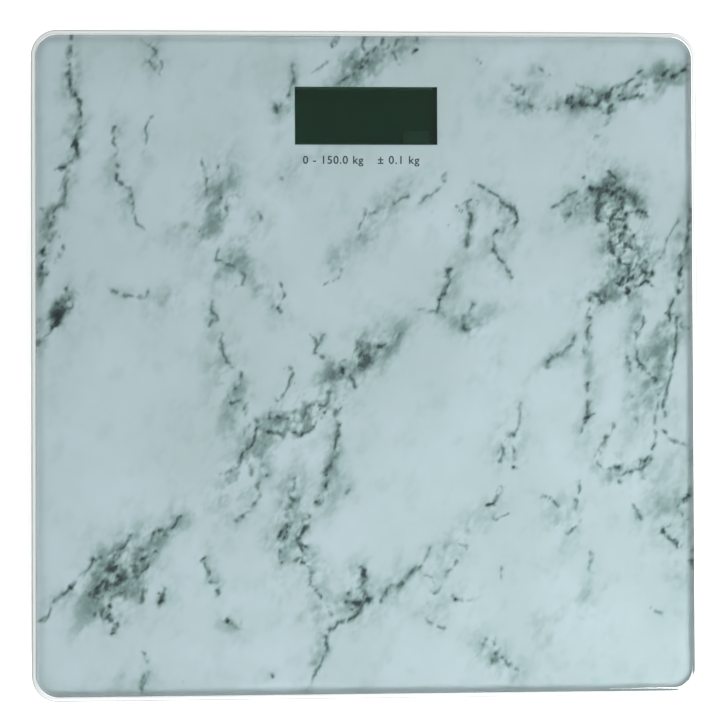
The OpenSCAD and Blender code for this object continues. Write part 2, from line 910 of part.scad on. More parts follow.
module load_cell(corner) {
    color(steel_color)
        at_corner(corner)
            difference() {
                translate([0, 0, load_cell_z])
                    linear_extrude(load_cell_t)
                        round_rect(load_cell_w, load_cell_w, load_cell_r);
                for (s = [-1, 1])
                    block(s * (tongue_w + slit) / 2, slit / 2, slit, tongue_len, load_cell_z - over,
                        load_cell_top + over);
                block(0, -(tongue_len - slit) / 2 + slit / 2, tongue_w + 2 * slit, slit, load_cell_z - over,
                    load_cell_top + over);
                post(0, 0, tongue_hole_r, load_cell_z - over, load_cell_top + over);
            }
}

module gauge_sealant() {
    color([0.94, 0.94, 0.92])
        for (c = FOOT_AT)
            at_corner(c)
                translate([0, sealant_from + sealant[1] / 2, load_cell_z - sealant[2]])
                    linear_extrude(sealant[2])
                        round_rect(sealant[0], sealant[1], sealant_r);
}

module foot(corner) {
    tall = foot_top_z - foot_base_z;
    color([0.30, 0.31, 0.32])
        at_corner(corner)
            difference() {
                union() {
                    translate([0, 0, foot_base_z])
                        rotate_extrude()
                            rim_section(foot_d / 2, tall, foot_round, 0);
                    post(0, 0, foot_post_r, foot_top_z, load_cell_z);
                    post(0, 0, foot_pin_r, load_cell_z, load_cell_top + foot_pin_top);
                }
                post(0, 0, pad_d / 2 + pad_fit, foot_base_z - over, foot_base_z + pad_sink);
            }
}

module foot_pad(corner) {
    tall = foot_base_z + pad_sink;
    color([0.16, 0.16, 0.17])
        at_corner(corner)
            difference() {
                rotate_extrude()
                    rim_section(pad_d / 2, tall, pad_round, 0);
                for (ring = [1, 2]) {
                    r = pad_d / 2 - ring * pad_groove_pitch;
                    difference() {
                        post(0, 0, r, -over, pad_groove_depth);
                        post(0, 0, r - pad_groove, -2 * over, pad_groove_depth + over);
                    }
                }
            }
}

module foot_clip(corner) {
    low = load_cell_top + clip_gap;
    color(steel_color)
        at_corner(corner)
            difference() {
                post(0, 0, clip_r, low, low + clip_t);
                post(0, 0, foot_pin_r, low - over, low + clip_t + over);
            }
}

// ---------------------------------------------------------------- wiring

// Colour 0, 1 or 2 of the three wires that leave each load cell
module sensor_wires(which) {
    k = (which - 1) * wire_pitch;
    start = sealant_from + sealant[1];
    low_at = wire_out + wire_run;
    for (s = [-1, 1]) {
        side_x = s * foot_x;
        up_x = s * (board_w / 2 - wire_in);
        wire(curved([
            [side_x - s * start, foot_y + k, wire_exit_z],
            [side_x - s * wire_out, foot_y + k, wire_exit_z],
            [side_x - s * low_at, foot_y + k, wire_lane_z],
            [up_x + s * wire_turn, foot_y + k, wire_lane_z],
            [up_x, foot_y + k, wire_lane_z + wire_rise[0]],
            [up_x, foot_y + k, board_z]
        ], wire_bend, wire_steps), wire_r, wire_sides);
        wire(curved([
            [side_x + k, -foot_y + start, wire_exit_z],
            [side_x + k, -foot_y + wire_out, wire_exit_z],
            [side_x + k, -foot_y + low_at, wire_lane_z],
            [side_x + k, wire_lane_y + s * k, wire_lane_z],
            [s * wire_up_x + k, wire_lane_y + s * k, wire_lane_z],
            [s * wire_up_x + k, board_front + wire_under[0], wire_lane_z],
            [s * wire_up_x + k, board_front + wire_under[1], wire_lane_z + wire_rise[1]],
            [s * wire_up_x + k, board_front + wire_under[1], board_z]
        ], wire_bend, wire_steps), wire_r, wire_sides);
    }
}

module sensor_wires_red() {
    color([0.72, 0.12, 0.10])
        sensor_wires(0);
}

module sensor_wires_white() {
    color([0.92, 0.92, 0.90])
        sensor_wires(1);
}

module sensor_wires_black() {
    color([0.08, 0.08, 0.08])
        sensor_wires(2);
}

// A lead from one contact tab to the board; lane 0 is the inner one
module battery_wire(side, lane) {
    tab_end = bay_w / 2 + bay_wall + tab_len;
    x = tab_end + battery_lane - tab_len + lane * battery_wire_gap;
    y = bay_y + side * battery_side;
    up_x = battery_up_x + lane * battery_wire_gap;
    z = battery_z + tab_up + contact_t / 2;
    low = floor_z + battery_wire_r + wire_floor_gap;
    wire(curved([
        [tab_end, y, z],
        [x, y, z],
        [x, y, low],
        [x, wire_lane_y - battery_turn[0], low],
        [up_x, wire_lane_y - battery_turn[1], low],
        [up_x, board_front + wire_under[0], low],
        [up_x, board_front + wire_under[1], low + wire_rise[1]],
        [up_x, board_front + wire_under[1], board_z]
    ], wire_bend, wire_steps), battery_wire_r, wire_sides);
}

module battery_wire_red() {
    color([0.72, 0.12, 0.10])
        battery_wire(1, 0);
}

module battery_wire_black() {
    color([0.08, 0.08, 0.08])
        battery_wire(-1, 1);
}

glass_platform();
printed_film();
foam_tape();
top_frame();
bottom_cover();
lcd_panel();
lcd_polariser();
lcd_holder();
zebra_strips();
backlight_panel();
circuit_board();
chip_blob();
board_parts();
unit_switch();
switch_plunger();
unit_button();
battery_door();
battery_cell_rear();
battery_cell_front();
contact_springs();
contact_plates();
contact_bridge();
battery_wire_red();
battery_wire_black();
sensor_wires_red();
sensor_wires_white();
sensor_wires_black();
load_cell(FOOT_AT[0]);  // load_cell_front_left
load_cell(FOOT_AT[1]);  // load_cell_front_right
load_cell(FOOT_AT[2]);  // load_cell_rear_left
load_cell(FOOT_AT[3]);  // load_cell_rear_right
gauge_sealant();
foot(FOOT_AT[0]);  // foot_front_left
foot(FOOT_AT[1]);  // foot_front_right
foot(FOOT_AT[2]);  // foot_rear_left
foot(FOOT_AT[3]);  // foot_rear_right
foot_pad(FOOT_AT[0]);  // foot_pad_front_left
foot_pad(FOOT_AT[1]);  // foot_pad_front_right
foot_pad(FOOT_AT[2]);  // foot_pad_rear_left
foot_pad(FOOT_AT[3]);  // foot_pad_rear_right
foot_clip(FOOT_AT[0]);  // foot_clip_front_left
foot_clip(FOOT_AT[1]);  // foot_clip_front_right
foot_clip(FOOT_AT[2]);  // foot_clip_rear_left
foot_clip(FOOT_AT[3]);  // foot_clip_rear_right
housing_screws();
board_screws();
rating_label();
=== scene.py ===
import math
import bpy
import bmesh
import numpy as np
from mathutils import Matrix, Vector


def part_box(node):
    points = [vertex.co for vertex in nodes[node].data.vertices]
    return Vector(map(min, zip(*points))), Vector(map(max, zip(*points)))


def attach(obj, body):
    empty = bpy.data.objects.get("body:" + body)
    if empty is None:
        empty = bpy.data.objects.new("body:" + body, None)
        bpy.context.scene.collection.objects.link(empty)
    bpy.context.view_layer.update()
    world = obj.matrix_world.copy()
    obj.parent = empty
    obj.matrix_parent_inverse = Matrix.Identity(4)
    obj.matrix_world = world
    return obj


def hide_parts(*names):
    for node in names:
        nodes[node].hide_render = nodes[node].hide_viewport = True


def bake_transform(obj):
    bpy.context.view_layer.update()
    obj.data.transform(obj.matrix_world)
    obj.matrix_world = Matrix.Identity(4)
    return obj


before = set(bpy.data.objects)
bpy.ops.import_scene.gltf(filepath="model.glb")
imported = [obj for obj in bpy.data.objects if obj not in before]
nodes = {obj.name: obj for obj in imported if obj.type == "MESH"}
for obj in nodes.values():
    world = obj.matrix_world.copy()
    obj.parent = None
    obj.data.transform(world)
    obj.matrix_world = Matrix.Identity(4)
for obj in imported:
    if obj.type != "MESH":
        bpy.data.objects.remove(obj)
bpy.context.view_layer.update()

mm = 0.001

# the pieces' places come from their boxes in model.glb
glassLow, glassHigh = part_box("glass_platform")
filmLow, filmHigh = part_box("printed_film")
polariserLow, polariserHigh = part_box("lcd_polariser")
windowLap = 1.0 * mm     # how far the print laps over the polariser


def newMaterial(name):
    # also gives the shader and the point on the object that its textures start from
    material = bpy.data.materials.new(name)
    material.use_nodes = True
    tree = material.node_tree
    point = tree.nodes.new("ShaderNodeTexCoord").outputs["Object"]
    return material, tree, tree.nodes["Principled BSDF"], point


def addNode(tree, kind, **values):
    node = tree.nodes.new(kind)
    for key, value in values.items():
        if key in node.inputs:
            node.inputs[key].default_value = value
        else:
            setattr(node, key, value)
    return node


def addPiece(name, data):
    piece = bpy.data.objects.new(name, data)
    bpy.context.scene.collection.objects.link(piece)
    return piece


def noiseTexture(tree, point, scale, detail=3.0, roughness=0.55, distortion=0.0):
    texture = addNode(tree, "ShaderNodeTexNoise", Scale=scale, Detail=detail, Roughness=roughness,
                      Distortion=distortion)
    tree.links.new(point, texture.inputs["Vector"])
    return texture.outputs["Fac"]


def mathNode(tree, operation, a, b=None, c=None):
    node = addNode(tree, "ShaderNodeMath", operation=operation)
    for i, value in enumerate((a, b, c)):
        if value is None:
            continue
        if isinstance(value, (int, float)):
            node.inputs[i].default_value = value
        else:
            tree.links.new(value, node.inputs[i])
    return node.outputs["Value"]


def mapRange(tree, value, fromMin, fromMax, toMin=0.0, toMax=1.0, smooth=False):
    ends = {"From Min": fromMin, "From Max": fromMax, "To Min": toMin, "To Max": toMax}
    node = addNode(tree, "ShaderNodeMapRange", **ends)
    if smooth:
        node.interpolation_type = "SMOOTHSTEP"
    tree.links.new(value, node.inputs["Value"])
    return node.outputs["Result"]


def mixColor(tree, factor, colorA, colorB):
    node = addNode(tree, "ShaderNodeMix", data_type="RGBA")
    for socket, value in ((node.inputs[0], factor), (node.inputs[6], colorA), (node.inputs[7], colorB)):
        if isinstance(value, (int, float)):
            socket.default_value = value
        elif isinstance(value, (tuple, list)):
            socket.default_value = (*value[:3], 1.0)
        else:
            tree.links.new(value, socket)
    return node.outputs[2]


def coat(tree, shader, color, rough):
    # colour and roughness of a surface, both from fields
    tree.links.new(color, shader.inputs["Base Color"])
    tree.links.new(rough, shader.inputs["Roughness"])


def bumpFrom(tree, shader, height, strength, distance):
    bump = addNode(tree, "ShaderNodeBump", Strength=strength, Distance=distance)
    tree.links.new(height, bump.inputs["Height"])
    tree.links.new(bump.outputs["Normal"], shader.inputs["Normal"])


def shade(tone, factor):
    return tuple(min(1.0, c * factor) for c in tone)


def mouldedPlastic(name, tone, rough=0.45, grain=0.9, depth=0.03, spread=0.06):
    # spark-eroded mould texture, a little colour drift and scuffs that polish it
    material, tree, shader, point = newMaterial(name)
    drift = noiseTexture(tree, point, 22.0, 3.0)
    fine = noiseTexture(tree, point, 1000.0 / grain, 2.0, 0.6)
    speckle = noiseTexture(tree, point, 420.0, 2.0, 0.6)
    color = mixColor(tree, mapRange(tree, drift, 0.3, 0.7), shade(tone, 1 - spread),
                     shade(tone, 1 + spread))
    color = mixColor(tree, mapRange(tree, speckle, 0.55, 0.75, 0.0, 0.25), color, shade(tone, 0.86))
    scuff = noiseTexture(tree, point, 60.0, 5.0, 0.7, 0.6)
    coat(tree, shader, color, mapRange(tree, scuff, 0.35, 0.75, rough + 0.08, rough - 0.1))
    bumpFrom(tree, shader, fine, 0.5, depth * mm)
    return material


def mouldedRubber(name, tone):
    material, tree, shader, point = newMaterial(name)
    dust = noiseTexture(tree, point, 90.0, 5.0, 0.65)
    fine = noiseTexture(tree, point, 1600.0, 2.0)
    color = mixColor(tree, mapRange(tree, dust, 0.45, 0.8), tone, shade(tone, 2.6))
    coat(tree, shader, color, mapRange(tree, dust, 0.3, 0.8, 0.62, 0.86))
    bumpFrom(tree, shader, fine, 0.5, 0.04 * mm)
    return material


def drawnSteel(name, tone, rough=0.3, along=(1.0, 14.0, 14.0)):
    # rolling lines with stains and fine scratches
    material, tree, shader, point = newMaterial(name)
    shader.inputs["Metallic"].default_value = 1.0
    mapping = addNode(tree, "ShaderNodeMapping", Scale=along)
    tree.links.new(point, mapping.inputs["Vector"])
    lines = noiseTexture(tree, mapping.outputs["Vector"], 160.0, 3.0, 0.6)
    stain = noiseTexture(tree, point, 120.0, 4.0, 0.6)
    color = mixColor(tree, mapRange(tree, stain, 0.35, 0.75), tone, shade(tone, 0.8))
    coat(tree, shader, color, mapRange(tree, lines, 0.3, 0.7, rough - 0.07, rough + 0.12))
    bumpFrom(tree, shader, lines, 0.3, 0.01 * mm)
    return material


def smoothSleeve(name, tone, rough=0.35):
    material, tree, shader, point = newMaterial(name)
    drift = noiseTexture(tree, point, 180.0, 3.0)
    color = mixColor(tree, mapRange(tree, drift, 0.35, 0.7), shade(tone, 0.88), shade(tone, 1.1))
    coat(tree, shader, color, mapRange(tree, drift, 0.3, 0.7, rough - 0.06, rough + 0.08))
    bumpFrom(tree, shader, drift, 0.2, 0.02 * mm)
    return material


def foamCells(name, tone):
    material, tree, shader, point = newMaterial(name)
    cells = addNode(tree, "ShaderNodeTexVoronoi", Scale=2200.0)
    tree.links.new(point, cells.inputs["Vector"])
    color = mixColor(tree, mapRange(tree, cells.outputs["Distance"], 0.1, 0.7), shade(tone, 0.78), tone)
    tree.links.new(color, shader.inputs["Base Color"])
    shader.inputs["Roughness"].default_value = 0.8
    bumpFrom(tree, shader, cells.outputs["Distance"], 0.6, 0.06 * mm)
    return material


def laminate(name, tone):
    # solder resist over a glass weave, with paler lines where tracks run under it
    material, tree, shader, point = newMaterial(name)
    brick = addNode(tree, "ShaderNodeTexBrick", offset=0.5, Scale=190.0)
    brick.inputs["Mortar Size"].default_value = 0.03
    tree.links.new(point, brick.inputs["Vector"])
    weave = noiseTexture(tree, point, 900.0, 2.0)
    color = mixColor(tree, mapRange(tree, weave, 0.4, 0.6), shade(tone, 0.85), shade(tone, 1.2))
    tracks = mapRange(tree, brick.outputs["Fac"], 0.0, 1.0, 0.0, 0.5)
    color = mixColor(tree, tracks, color, shade(tone, 2.2))
    coat(tree, shader, color, mapRange(tree, weave, 0.3, 0.7, 0.28, 0.4))
    bumpFrom(tree, shader, brick.outputs["Fac"], 0.3, 0.02 * mm)
    return material


def labelFoil(name, tone):
    material, tree, shader, point = newMaterial(name)
    shader.inputs["Metallic"].default_value = 0.8
    streak = noiseTexture(tree, point, 260.0, 4.0, 0.6)
    color = mixColor(tree, mapRange(tree, streak, 0.35, 0.7), shade(tone, 0.9), tone)
    coat(tree, shader, color, mapRange(tree, streak, 0.3, 0.7, 0.38, 0.5))
    bumpFrom(tree, shader, streak, 0.2, 0.01 * mm)
    return material


def batterySleeve(name):
    # printed sleeve in a dark blue foil
    material, tree, shader, point = newMaterial(name)
    grain = noiseTexture(tree, point, 300.0, 3.0)
    color = mixColor(tree, mapRange(tree, grain, 0.35, 0.65), (0.012, 0.05, 0.11), (0.02, 0.075, 0.15))
    coat(tree, shader, color, mapRange(tree, grain, 0.3, 0.7, 0.22, 0.34))
    shader.inputs["Metallic"].default_value = 0.3
    bumpFrom(tree, shader, grain, 0.1, 0.01 * mm)
    return material


glassBody = {
    "tint": (0.96, 0.99, 0.98),
    "rough": 0.0,
    "depthTint": (0.40, 0.82, 0.74, 1.0),   # what is left of each colour as light goes through
    "density": 6.0,
}


def polishedGlass(name):
    material, tree, shader, point = newMaterial(name)
    shader.inputs["Transmission Weight"].default_value = 1.0
    shader.inputs["IOR"].default_value = 1.5
    shader.inputs["Base Color"].default_value = (*glassBody["tint"], 1.0)
    smear = noiseTexture(tree, point, 35.0, 5.0, 0.7, 0.8)
    rough = glassBody["rough"]
    tree.links.new(mapRange(tree, smear, 0.4, 0.8, rough, rough + 0.03), shader.inputs["Roughness"])
    bumpFrom(tree, shader, noiseTexture(tree, point, 14.0, 2.0), 0.02, 0.01 * mm)
    body = addNode(tree, "ShaderNodeVolumeAbsorption", Color=glassBody["depthTint"],
                   Density=glassBody["density"])
    tree.links.new(body.outputs["Volume"], tree.nodes["Material Output"].inputs["Volume"])
    return material


paintedEdgeShadeAndMarks = {
    # painted shade and light on the rim: distance above or below the waist of the edge in mm, then the
    # tone there, darkest at the waist where refraction darkens the glass's silhouette, paler above
    "steps": ((1.35, (0.12, 0.140, 0.138)), (1.75, (0.42, 0.440, 0.435)), (2.3, (0.42, 0.440, 0.435)),
              (2.5, (0.26, 0.300, 0.295))),
    "markTone": (0.36, 0.38, 0.38),
}


def groundEdgePaintedShade(name, waist):
    # wheel marks on the belt-ground rim, over painted shade in bands by height that is darkest at the
    # waist, where the rim stands upright
    material, tree, shader, point = newMaterial(name)
    split = addNode(tree, "ShaderNodeSeparateXYZ")
    tree.links.new(point, split.inputs["Vector"])
    height = mathNode(tree, "ABSOLUTE", mathNode(tree, "SUBTRACT", split.outputs["Z"], waist))
    marks = noiseTexture(tree, point, 700.0, 4.0, 0.7)
    # painted shade: the rim's tone steps with height from the waist
    steps = paintedEdgeShadeAndMarks["steps"]
    color = steps[0][1]
    for (start, _), (stop, tone) in zip(steps[:-1], steps[1:]):
        color = mixColor(tree, mapRange(tree, height, start * mm, stop * mm), color, tone)
    color = mixColor(tree, mapRange(tree, marks, 0.5, 0.8, 0.0, 0.25), color, paintedEdgeShadeAndMarks["markTone"])
    tree.links.new(color, shader.inputs["Base Color"])
    shader.inputs["Specular IOR Level"].default_value = 0.3
    tree.links.new(mapRange(tree, marks, 0.3, 0.7, 0.4, 0.6), shader.inputs["Roughness"])
    bumpFrom(tree, shader, marks, 0.3, 0.02 * mm)
    return material


marble = {
    "grid": 0.50,            # spacing of the print's mesh, mm
    "below": 0.03,           # air between the glass and the print, mm
    "wander": 0.9,           # how far the veins stray from their lines, mm
    "lean": 62.0,            # direction that the mottling runs in, degrees from +X
    "stretch": 1.5,          # how much longer the mottles are than wide
    "corner": 8.7,           # radius of the print's corners, mm
    "reach": 13.0,           # how far from a vein its halo is worked out, mm
    # each of these is a base, then what is added for the darkest vein
    "lineWidth": (0.55, 0.65),
    "lineDark": (0.22, 0.68),
    "haloWidth": (2.6, 2.6),
    "knotDark": 0.9,
    "knotHalo": (0.65, 2.6),   # depth, and width in radii of the knot
    "dotGrain": 0.7,         # how much the print's dots break up the ink
    "inkStops": ((0.32, "haze"), (0.72, "vein"), (1.0, "knot")),
    "tones": {
        "cool": (0.466, 0.534, 0.576),
        "warm": (0.418, 0.486, 0.506),
        "haze": (0.209, 0.287, 0.283),
        "vein": (0.050, 0.075, 0.079),
        "knot": (0.012, 0.016, 0.018),
    },
}

# how dark each vein is, then its points in mm from the middle of the platform
veins = [
    # left edge, from the top down
    (0.55, [(-123, 138), (-124, 133), (-124, 124), (-123, 116), (-120, 109), (-120, 102), (-121, 95)]),
    (0.8, [(-121, 95), (-122, 89), (-125, 84), (-130, 81)]),
    (0.25, [(-125, 84), (-126, 78), (-125, 72)]),
    (0.45, [(-125, 72), (-127, 69), (-130, 63), (-132, 56), (-136, 48)]),
    (0.85, [(-136, 48), (-136, 43), (-137, 36)]),
    (0.45, [(-126, 49), (-129, 44)]),
    (0.3, [(-135, 66), (-131, 60), (-129, 54)]),
    (0.7, [(-125, 31), (-125, 27), (-123, 25), (-127, 23), (-130, 21)]),
    (0.75, [(-130, 21), (-130, 18), (-133, 13), (-137, 9)]),
    (0.45, [(-134, 21), (-131, 24), (-127, 27)]),
    (0.25, [(-121, 30), (-119, 28), (-117, 30)]),
    # upper left
    (0.35, [(-104, 100), (-105, 95), (-105, 89)]),
    (0.6, [(-105, 89), (-105, 83), (-105, 79)]),
    (0.35, [(-105, 79), (-100, 73), (-99, 69), (-99, 62), (-96, 58), (-92, 55)]),
    (0.35, [(-94, 137), (-89, 135), (-88, 132), (-89, 130), (-92, 128), (-90, 124)]),
    (0.22, [(-89, 130), (-86, 126), (-87, 121)]),
    (0.3, [(-89, 105), (-92, 100), (-91, 95), (-92, 88)]),
    (0.28, [(-69, 87), (-66, 79), (-67, 72)]),
    (0.25, [(-54, 71), (-58, 66), (-61, 60)]),
    (0.3, [(-107, 31), (-103, 30), (-97, 28), (-92, 29), (-90, 31)]),
    (0.45, [(-45, 63), (-44, 60)]),
    # top, over the display
    (0.45, [(-11, 137), (-14, 134)]),
    (0.55, [(-1, 138), (-2, 134)]),
    (0.45, [(8, 136), (6, 133), (1, 132), (-1, 128)]),
    (0.75, [(-1, 128), (-1, 126), (-5, 124)]),
    (0.45, [(-5, 124), (-10, 121), (-11, 119)]),
    (0.35, [(10, 134), (7, 129), (4, 122)]),
    (0.6, [(22, 135), (21, 132)]),
    (0.3, [(-30, 126), (-30, 121), (-32, 117), (-32, 113)]),
    (0.5, [(-32, 113), (-35, 110), (-37, 107)]),
    (0.3, [(-17, 126), (-22, 123)]),
    (0.3, [(14, 137), (12, 132), (13, 127)]),
    # below the display
    (0.3, [(33, 82), (32, 77), (29, 74), (23, 67)]),
    (0.25, [(18, 70), (12, 66)]),
    (0.45, [(-1, 65), (-1, 61), (4, 63)]),
    (0.32, [(-1, 61), (-3, 54), (-6, 51)]),
    (0.45, [(38, 66), (43, 69), (43, 62), (43, 56), (42, 51)]),
    # upper right
    (0.3, [(47, 129), (48, 126)]),
    (0.7, [(136, 127), (130, 123), (125, 120), (120, 116), (115, 117)]),
    (0.6, [(120, 116), (115, 113), (110, 111), (105, 109), (100, 107)]),
    (0.5, [(117, 124), (112, 120), (107, 118), (103, 113)]),
    (0.75, [(103, 113), (98, 109), (92, 109), (87, 111), (83, 110)]),
    (0.4, [(89, 118), (95, 116), (97, 111)]),
    (0.45, [(60, 117), (65, 116), (69, 113), (71, 109), (68, 106)]),
    (0.35, [(71, 109), (77, 108), (83, 110)]),
    (0.22, [(103, 106), (100, 100), (95, 92), (92, 87), (94, 83)]),
    (0.28, [(74, 125), (76, 122)]),
    # the column right of the middle
    (0.4, [(46, 77), (50, 74), (54, 70), (58, 66)]),
    (0.65, [(58, 66), (61, 64), (63, 60), (61, 57), (56, 55)]),
    (0.5, [(56, 55), (54, 52), (53, 48), (55, 46), (58, 41), (60, 35)]),
    (0.4, [(87, 72), (83, 70), (79, 67)]),
    (0.4, [(92, 69), (89, 67), (84, 61)]),
    # the dark knot at the right
    (0.65, [(102, 80), (106, 77), (105, 72), (108, 69)]),
    (0.55, [(95, 74), (100, 75), (105, 72)]),
    (0.7, [(108, 69), (110, 64), (115, 64), (118, 62)]),
    (0.5, [(97, 63), (101, 60), (104, 56), (109, 59), (113, 55), (114, 47)]),
    (0.6, [(99, 70), (97, 63)]),
    (0.65, [(104, 56), (103, 48), (107, 42), (113, 41)]),
    (0.7, [(115, 49), (117, 46), (113, 41), (120, 37)]),
    (0.95, [(113, 41), (110, 36), (110, 33), (111, 30)]),
    (0.7, [(111, 30), (118, 34), (121, 32)]),
    (0.7, [(110, 33), (106, 33), (103, 30), (99, 26), (95, 31), (94, 27)]),
    (0.5, [(94, 27), (93, 21), (93, 14), (92, 5)]),
    (0.6, [(93, -9), (93, -12)]),
    (0.4, [(93, -17), (92, -24), (91, -30)]),
    (0.35, [(92, -24), (95, -22)]),
    # right edge
    (0.65, [(138, 64), (137, 58), (136, 51), (135, 46), (134, 40), (134, 35), (132, 29), (130, 25),
            (128, 18)]),
    (0.6, [(128, 18), (131, 17), (133, 20), (135, 14)]),
    (0.55, [(133, 20), (132, 14), (131, 8), (129, -3), (127, -14), (126, -22)]),
    (0.5, [(124, -10), (123, -20), (121, -26), (122, -33), (120, -36)]),
    (0.25, [(132, 60), (128, 53), (124, 45)]),
    (0.35, [(126, -29), (132, -34), (136, -36)]),
    (0.45, [(117, 18), (114, 13), (115, 5), (117, 0), (120, -5), (124, -9)]),
    (0.3, [(111, 2), (112, -3)]),
    (0.55, [(111, -12), (111, -14)]),
    (0.25, [(112, -23), (113, -27)]),
    (0.4, [(88, 12), (87, 8), (82, 4), (76, 0)]),
    (0.45, [(105, -27), (101, -33), (97, -40), (101, -44), (106, -44)]),
    (0.55, [(119, -40), (116, -42), (115, -46), (106, -48), (108, -51)]),
    (0.4, [(64, -18), (64, -24), (61, -31)]),
    (0.5, [(61, -31), (58, -36), (56, -42)]),
    (0.5, [(63, -36), (63, -43)]),
    # left of the middle
    (0.3, [(-62, 49), (-62, 44), (-55, 41), (-50, 38), (-51, 33), (-55, 32)]),
    (0.35, [(-64, 28), (-66, 23), (-63, 19), (-65, 14)]),
    (0.4, [(-59, 13), (-61, 9), (-59, 3), (-58, -2)]),
    (0.4, [(-53, -3), (-53, -7), (-59, -10), (-56, -16), (-51, -16), (-51, -23), (-52, -29)]),
    (0.6, [(-46, -25), (-48, -31), (-51, -35), (-55, -42), (-60, -46)]),
    (0.28, [(-48, -41), (-47, -47)]),
    (0.45, [(-37, 34), (-36, 29), (-38, 24), (-33, 21)]),
    (0.32, [(-10, 41), (-12, 37), (-17, 34)]),
    (0.35, [(-24, 13), (-20, 8)]),
    (0.35, [(-19, 13), (-20, 8), (-21, 5), (-17, 4)]),
    # the diagonal through the middle
    (0.3, [(16, 12), (11, 10), (6, 8)]),
    (0.55, [(6, 8), (1, 8), (-4, 8), (-9, 4), (-13, 0)]),
    (0.7, [(-13, 0), (-11, -3), (-8, -5)]),
    (0.5, [(-3, -1), (-4, 4), (-2, 8)]),
    (0.45, [(-3, -9), (-8, -5), (-12, -7), (-16, -13), (-17, -17), (-24, -18), (-28, -22), (-33, -24)]),
    (0.45, [(-33, -24), (-40, -23), (-40, -19)]),
    (0.6, [(-20, -22), (-22, -25), (-28, -29), (-36, -30), (-42, -27), (-46, -25), (-49, -32)]),
    (0.35, [(-32, -3), (-34, -8), (-38, -15)]),
    (0.6, [(-13, -20), (-12, -26), (-12, -32), (-12, -37), (-14, -43)]),
    (0.6, [(-14, -43), (-17, -47), (-18, -51), (-19, -56), (-22, -58)]),
    (0.55, [(35, 40), (35, 36), (30, 27), (29, 19)]),
    (0.22, [(20, 22), (28, 20), (36, 19)]),
    (0.5, [(40, 21), (42, 15), (44, 14)]),
    (0.3, [(44, 26), (42, 21)]),
    # lower left
    (0.45, [(-136, -106), (-131, -100), (-124, -92), (-119, -88)]),
    (0.55, [(-119, -88), (-114, -83), (-108, -79), (-103, -75)]),
    (0.45, [(-103, -75), (-100, -71), (-97, -75), (-94, -76)]),
    (0.75, [(-89, -77), (-93, -81), (-98, -81), (-103, -84), (-106, -87)]),
    (0.5, [(-92, -83), (-96, -87), (-103, -89)]),
    (0.65, [(-105, -79), (-106, -87), (-103, -89), (-108, -91), (-113, -94)]),
    (0.6, [(-103, -94), (-110, -98), (-108, -101), (-113, -104)]),
    (0.75, [(-113, -94), (-116, -96), (-110, -98)]),
    (0.8, [(-113, -104), (-109, -105), (-105, -107), (-105, -112)]),
    (0.55, [(-89, -71), (-87, -69), (-85, -71)]),
    (0.4, [(-85, -71), (-82, -66), (-79, -63)]),
    (0.35, [(-92, -93), (-96, -99)]),
    (0.5, [(-85, -94), (-87, -100)]),
    (0.45, [(-95, -121), (-91, -129), (-94, -135)]),
    (0.45, [(-69, -82), (-67, -88), (-63, -96)]),
    (0.4, [(-58, -107), (-53, -111)]),
    (0.45, [(-42, -47), (-45, -53), (-47, -57), (-51, -61), (-53, -64), (-56, -66)]),
    # below the middle
    (0.8, [(-31, -49), (-32, -54), (-30, -56), (-32, -59)]),
    (0.5, [(-28, -56), (-32, -59), (-33, -66), (-34, -69)]),
    (0.6, [(-34, -69), (-37, -73), (-37, -77), (-38, -79), (-36, -82)]),
    (0.6, [(-25, -63), (-28, -65), (-26, -67), (-28, -71), (-28, -75), (-25, -75)]),
    (0.65, [(-28, -75), (-27, -80), (-30, -82), (-27, -83), (-25, -87)]),
    (0.5, [(-25, -87), (-25, -92), (-23, -95), (-20, -100), (-17, -103), (-17, -105)]),
    (0.5, [(-9, -51), (-9, -54)]),
    (0.75, [(-6, -87), (-3, -86), (-3, -90), (-4, -94), (-1, -99), (-5, -100), (-10, -101)]),
    (0.55, [(-1, -99), (-5, -104), (-9, -107), (-14, -109), (-16, -112)]),
    (0.6, [(-16, -112), (-17, -115), (-18, -120), (-21, -125), (-23, -131), (-27, -136)]),
    (0.5, [(5, -99), (8, -94), (14, -92), (19, -87), (22, -84), (26, -78)]),
    (0.28, [(24, -89), (29, -93), (27, -98)]),
    (0.28, [(38, -84), (32, -89)]),
    (0.4, [(37, -99), (43, -100)]),
    (0.28, [(26, -108), (32, -111)]),
    (0.22, [(43, -80), (42, -78), (39, -76)]),
    # lower right
    (0.45, [(51, -58), (56, -52)]),
    (0.28, [(60, -63), (54, -64)]),
    (0.35, [(76, -56), (80, -59)]),
    (0.35, [(89, -51), (87, -59), (89, -65), (85, -71)]),
    (0.45, [(112, -59), (114, -64)]),
    (0.55, [(124, -71), (128, -75), (131, -77)]),
    (0.5, [(138, -51), (136, -56), (132, -61)]),
    (0.5, [(138, -69), (138, -76), (137, -83), (138, -88)]),
    (0.25, [(94, -81), (94, -86), (96, -89)]),
    (0.25, [(56, -85), (56, -91)]),
    (0.22, [(120, -102), (124, -106)]),
    (0.45, [(50, -115), (48, -120)]),
    (0.55, [(54, -116), (56, -120), (53, -125), (58, -125), (60, -129), (63, -130)]),
]

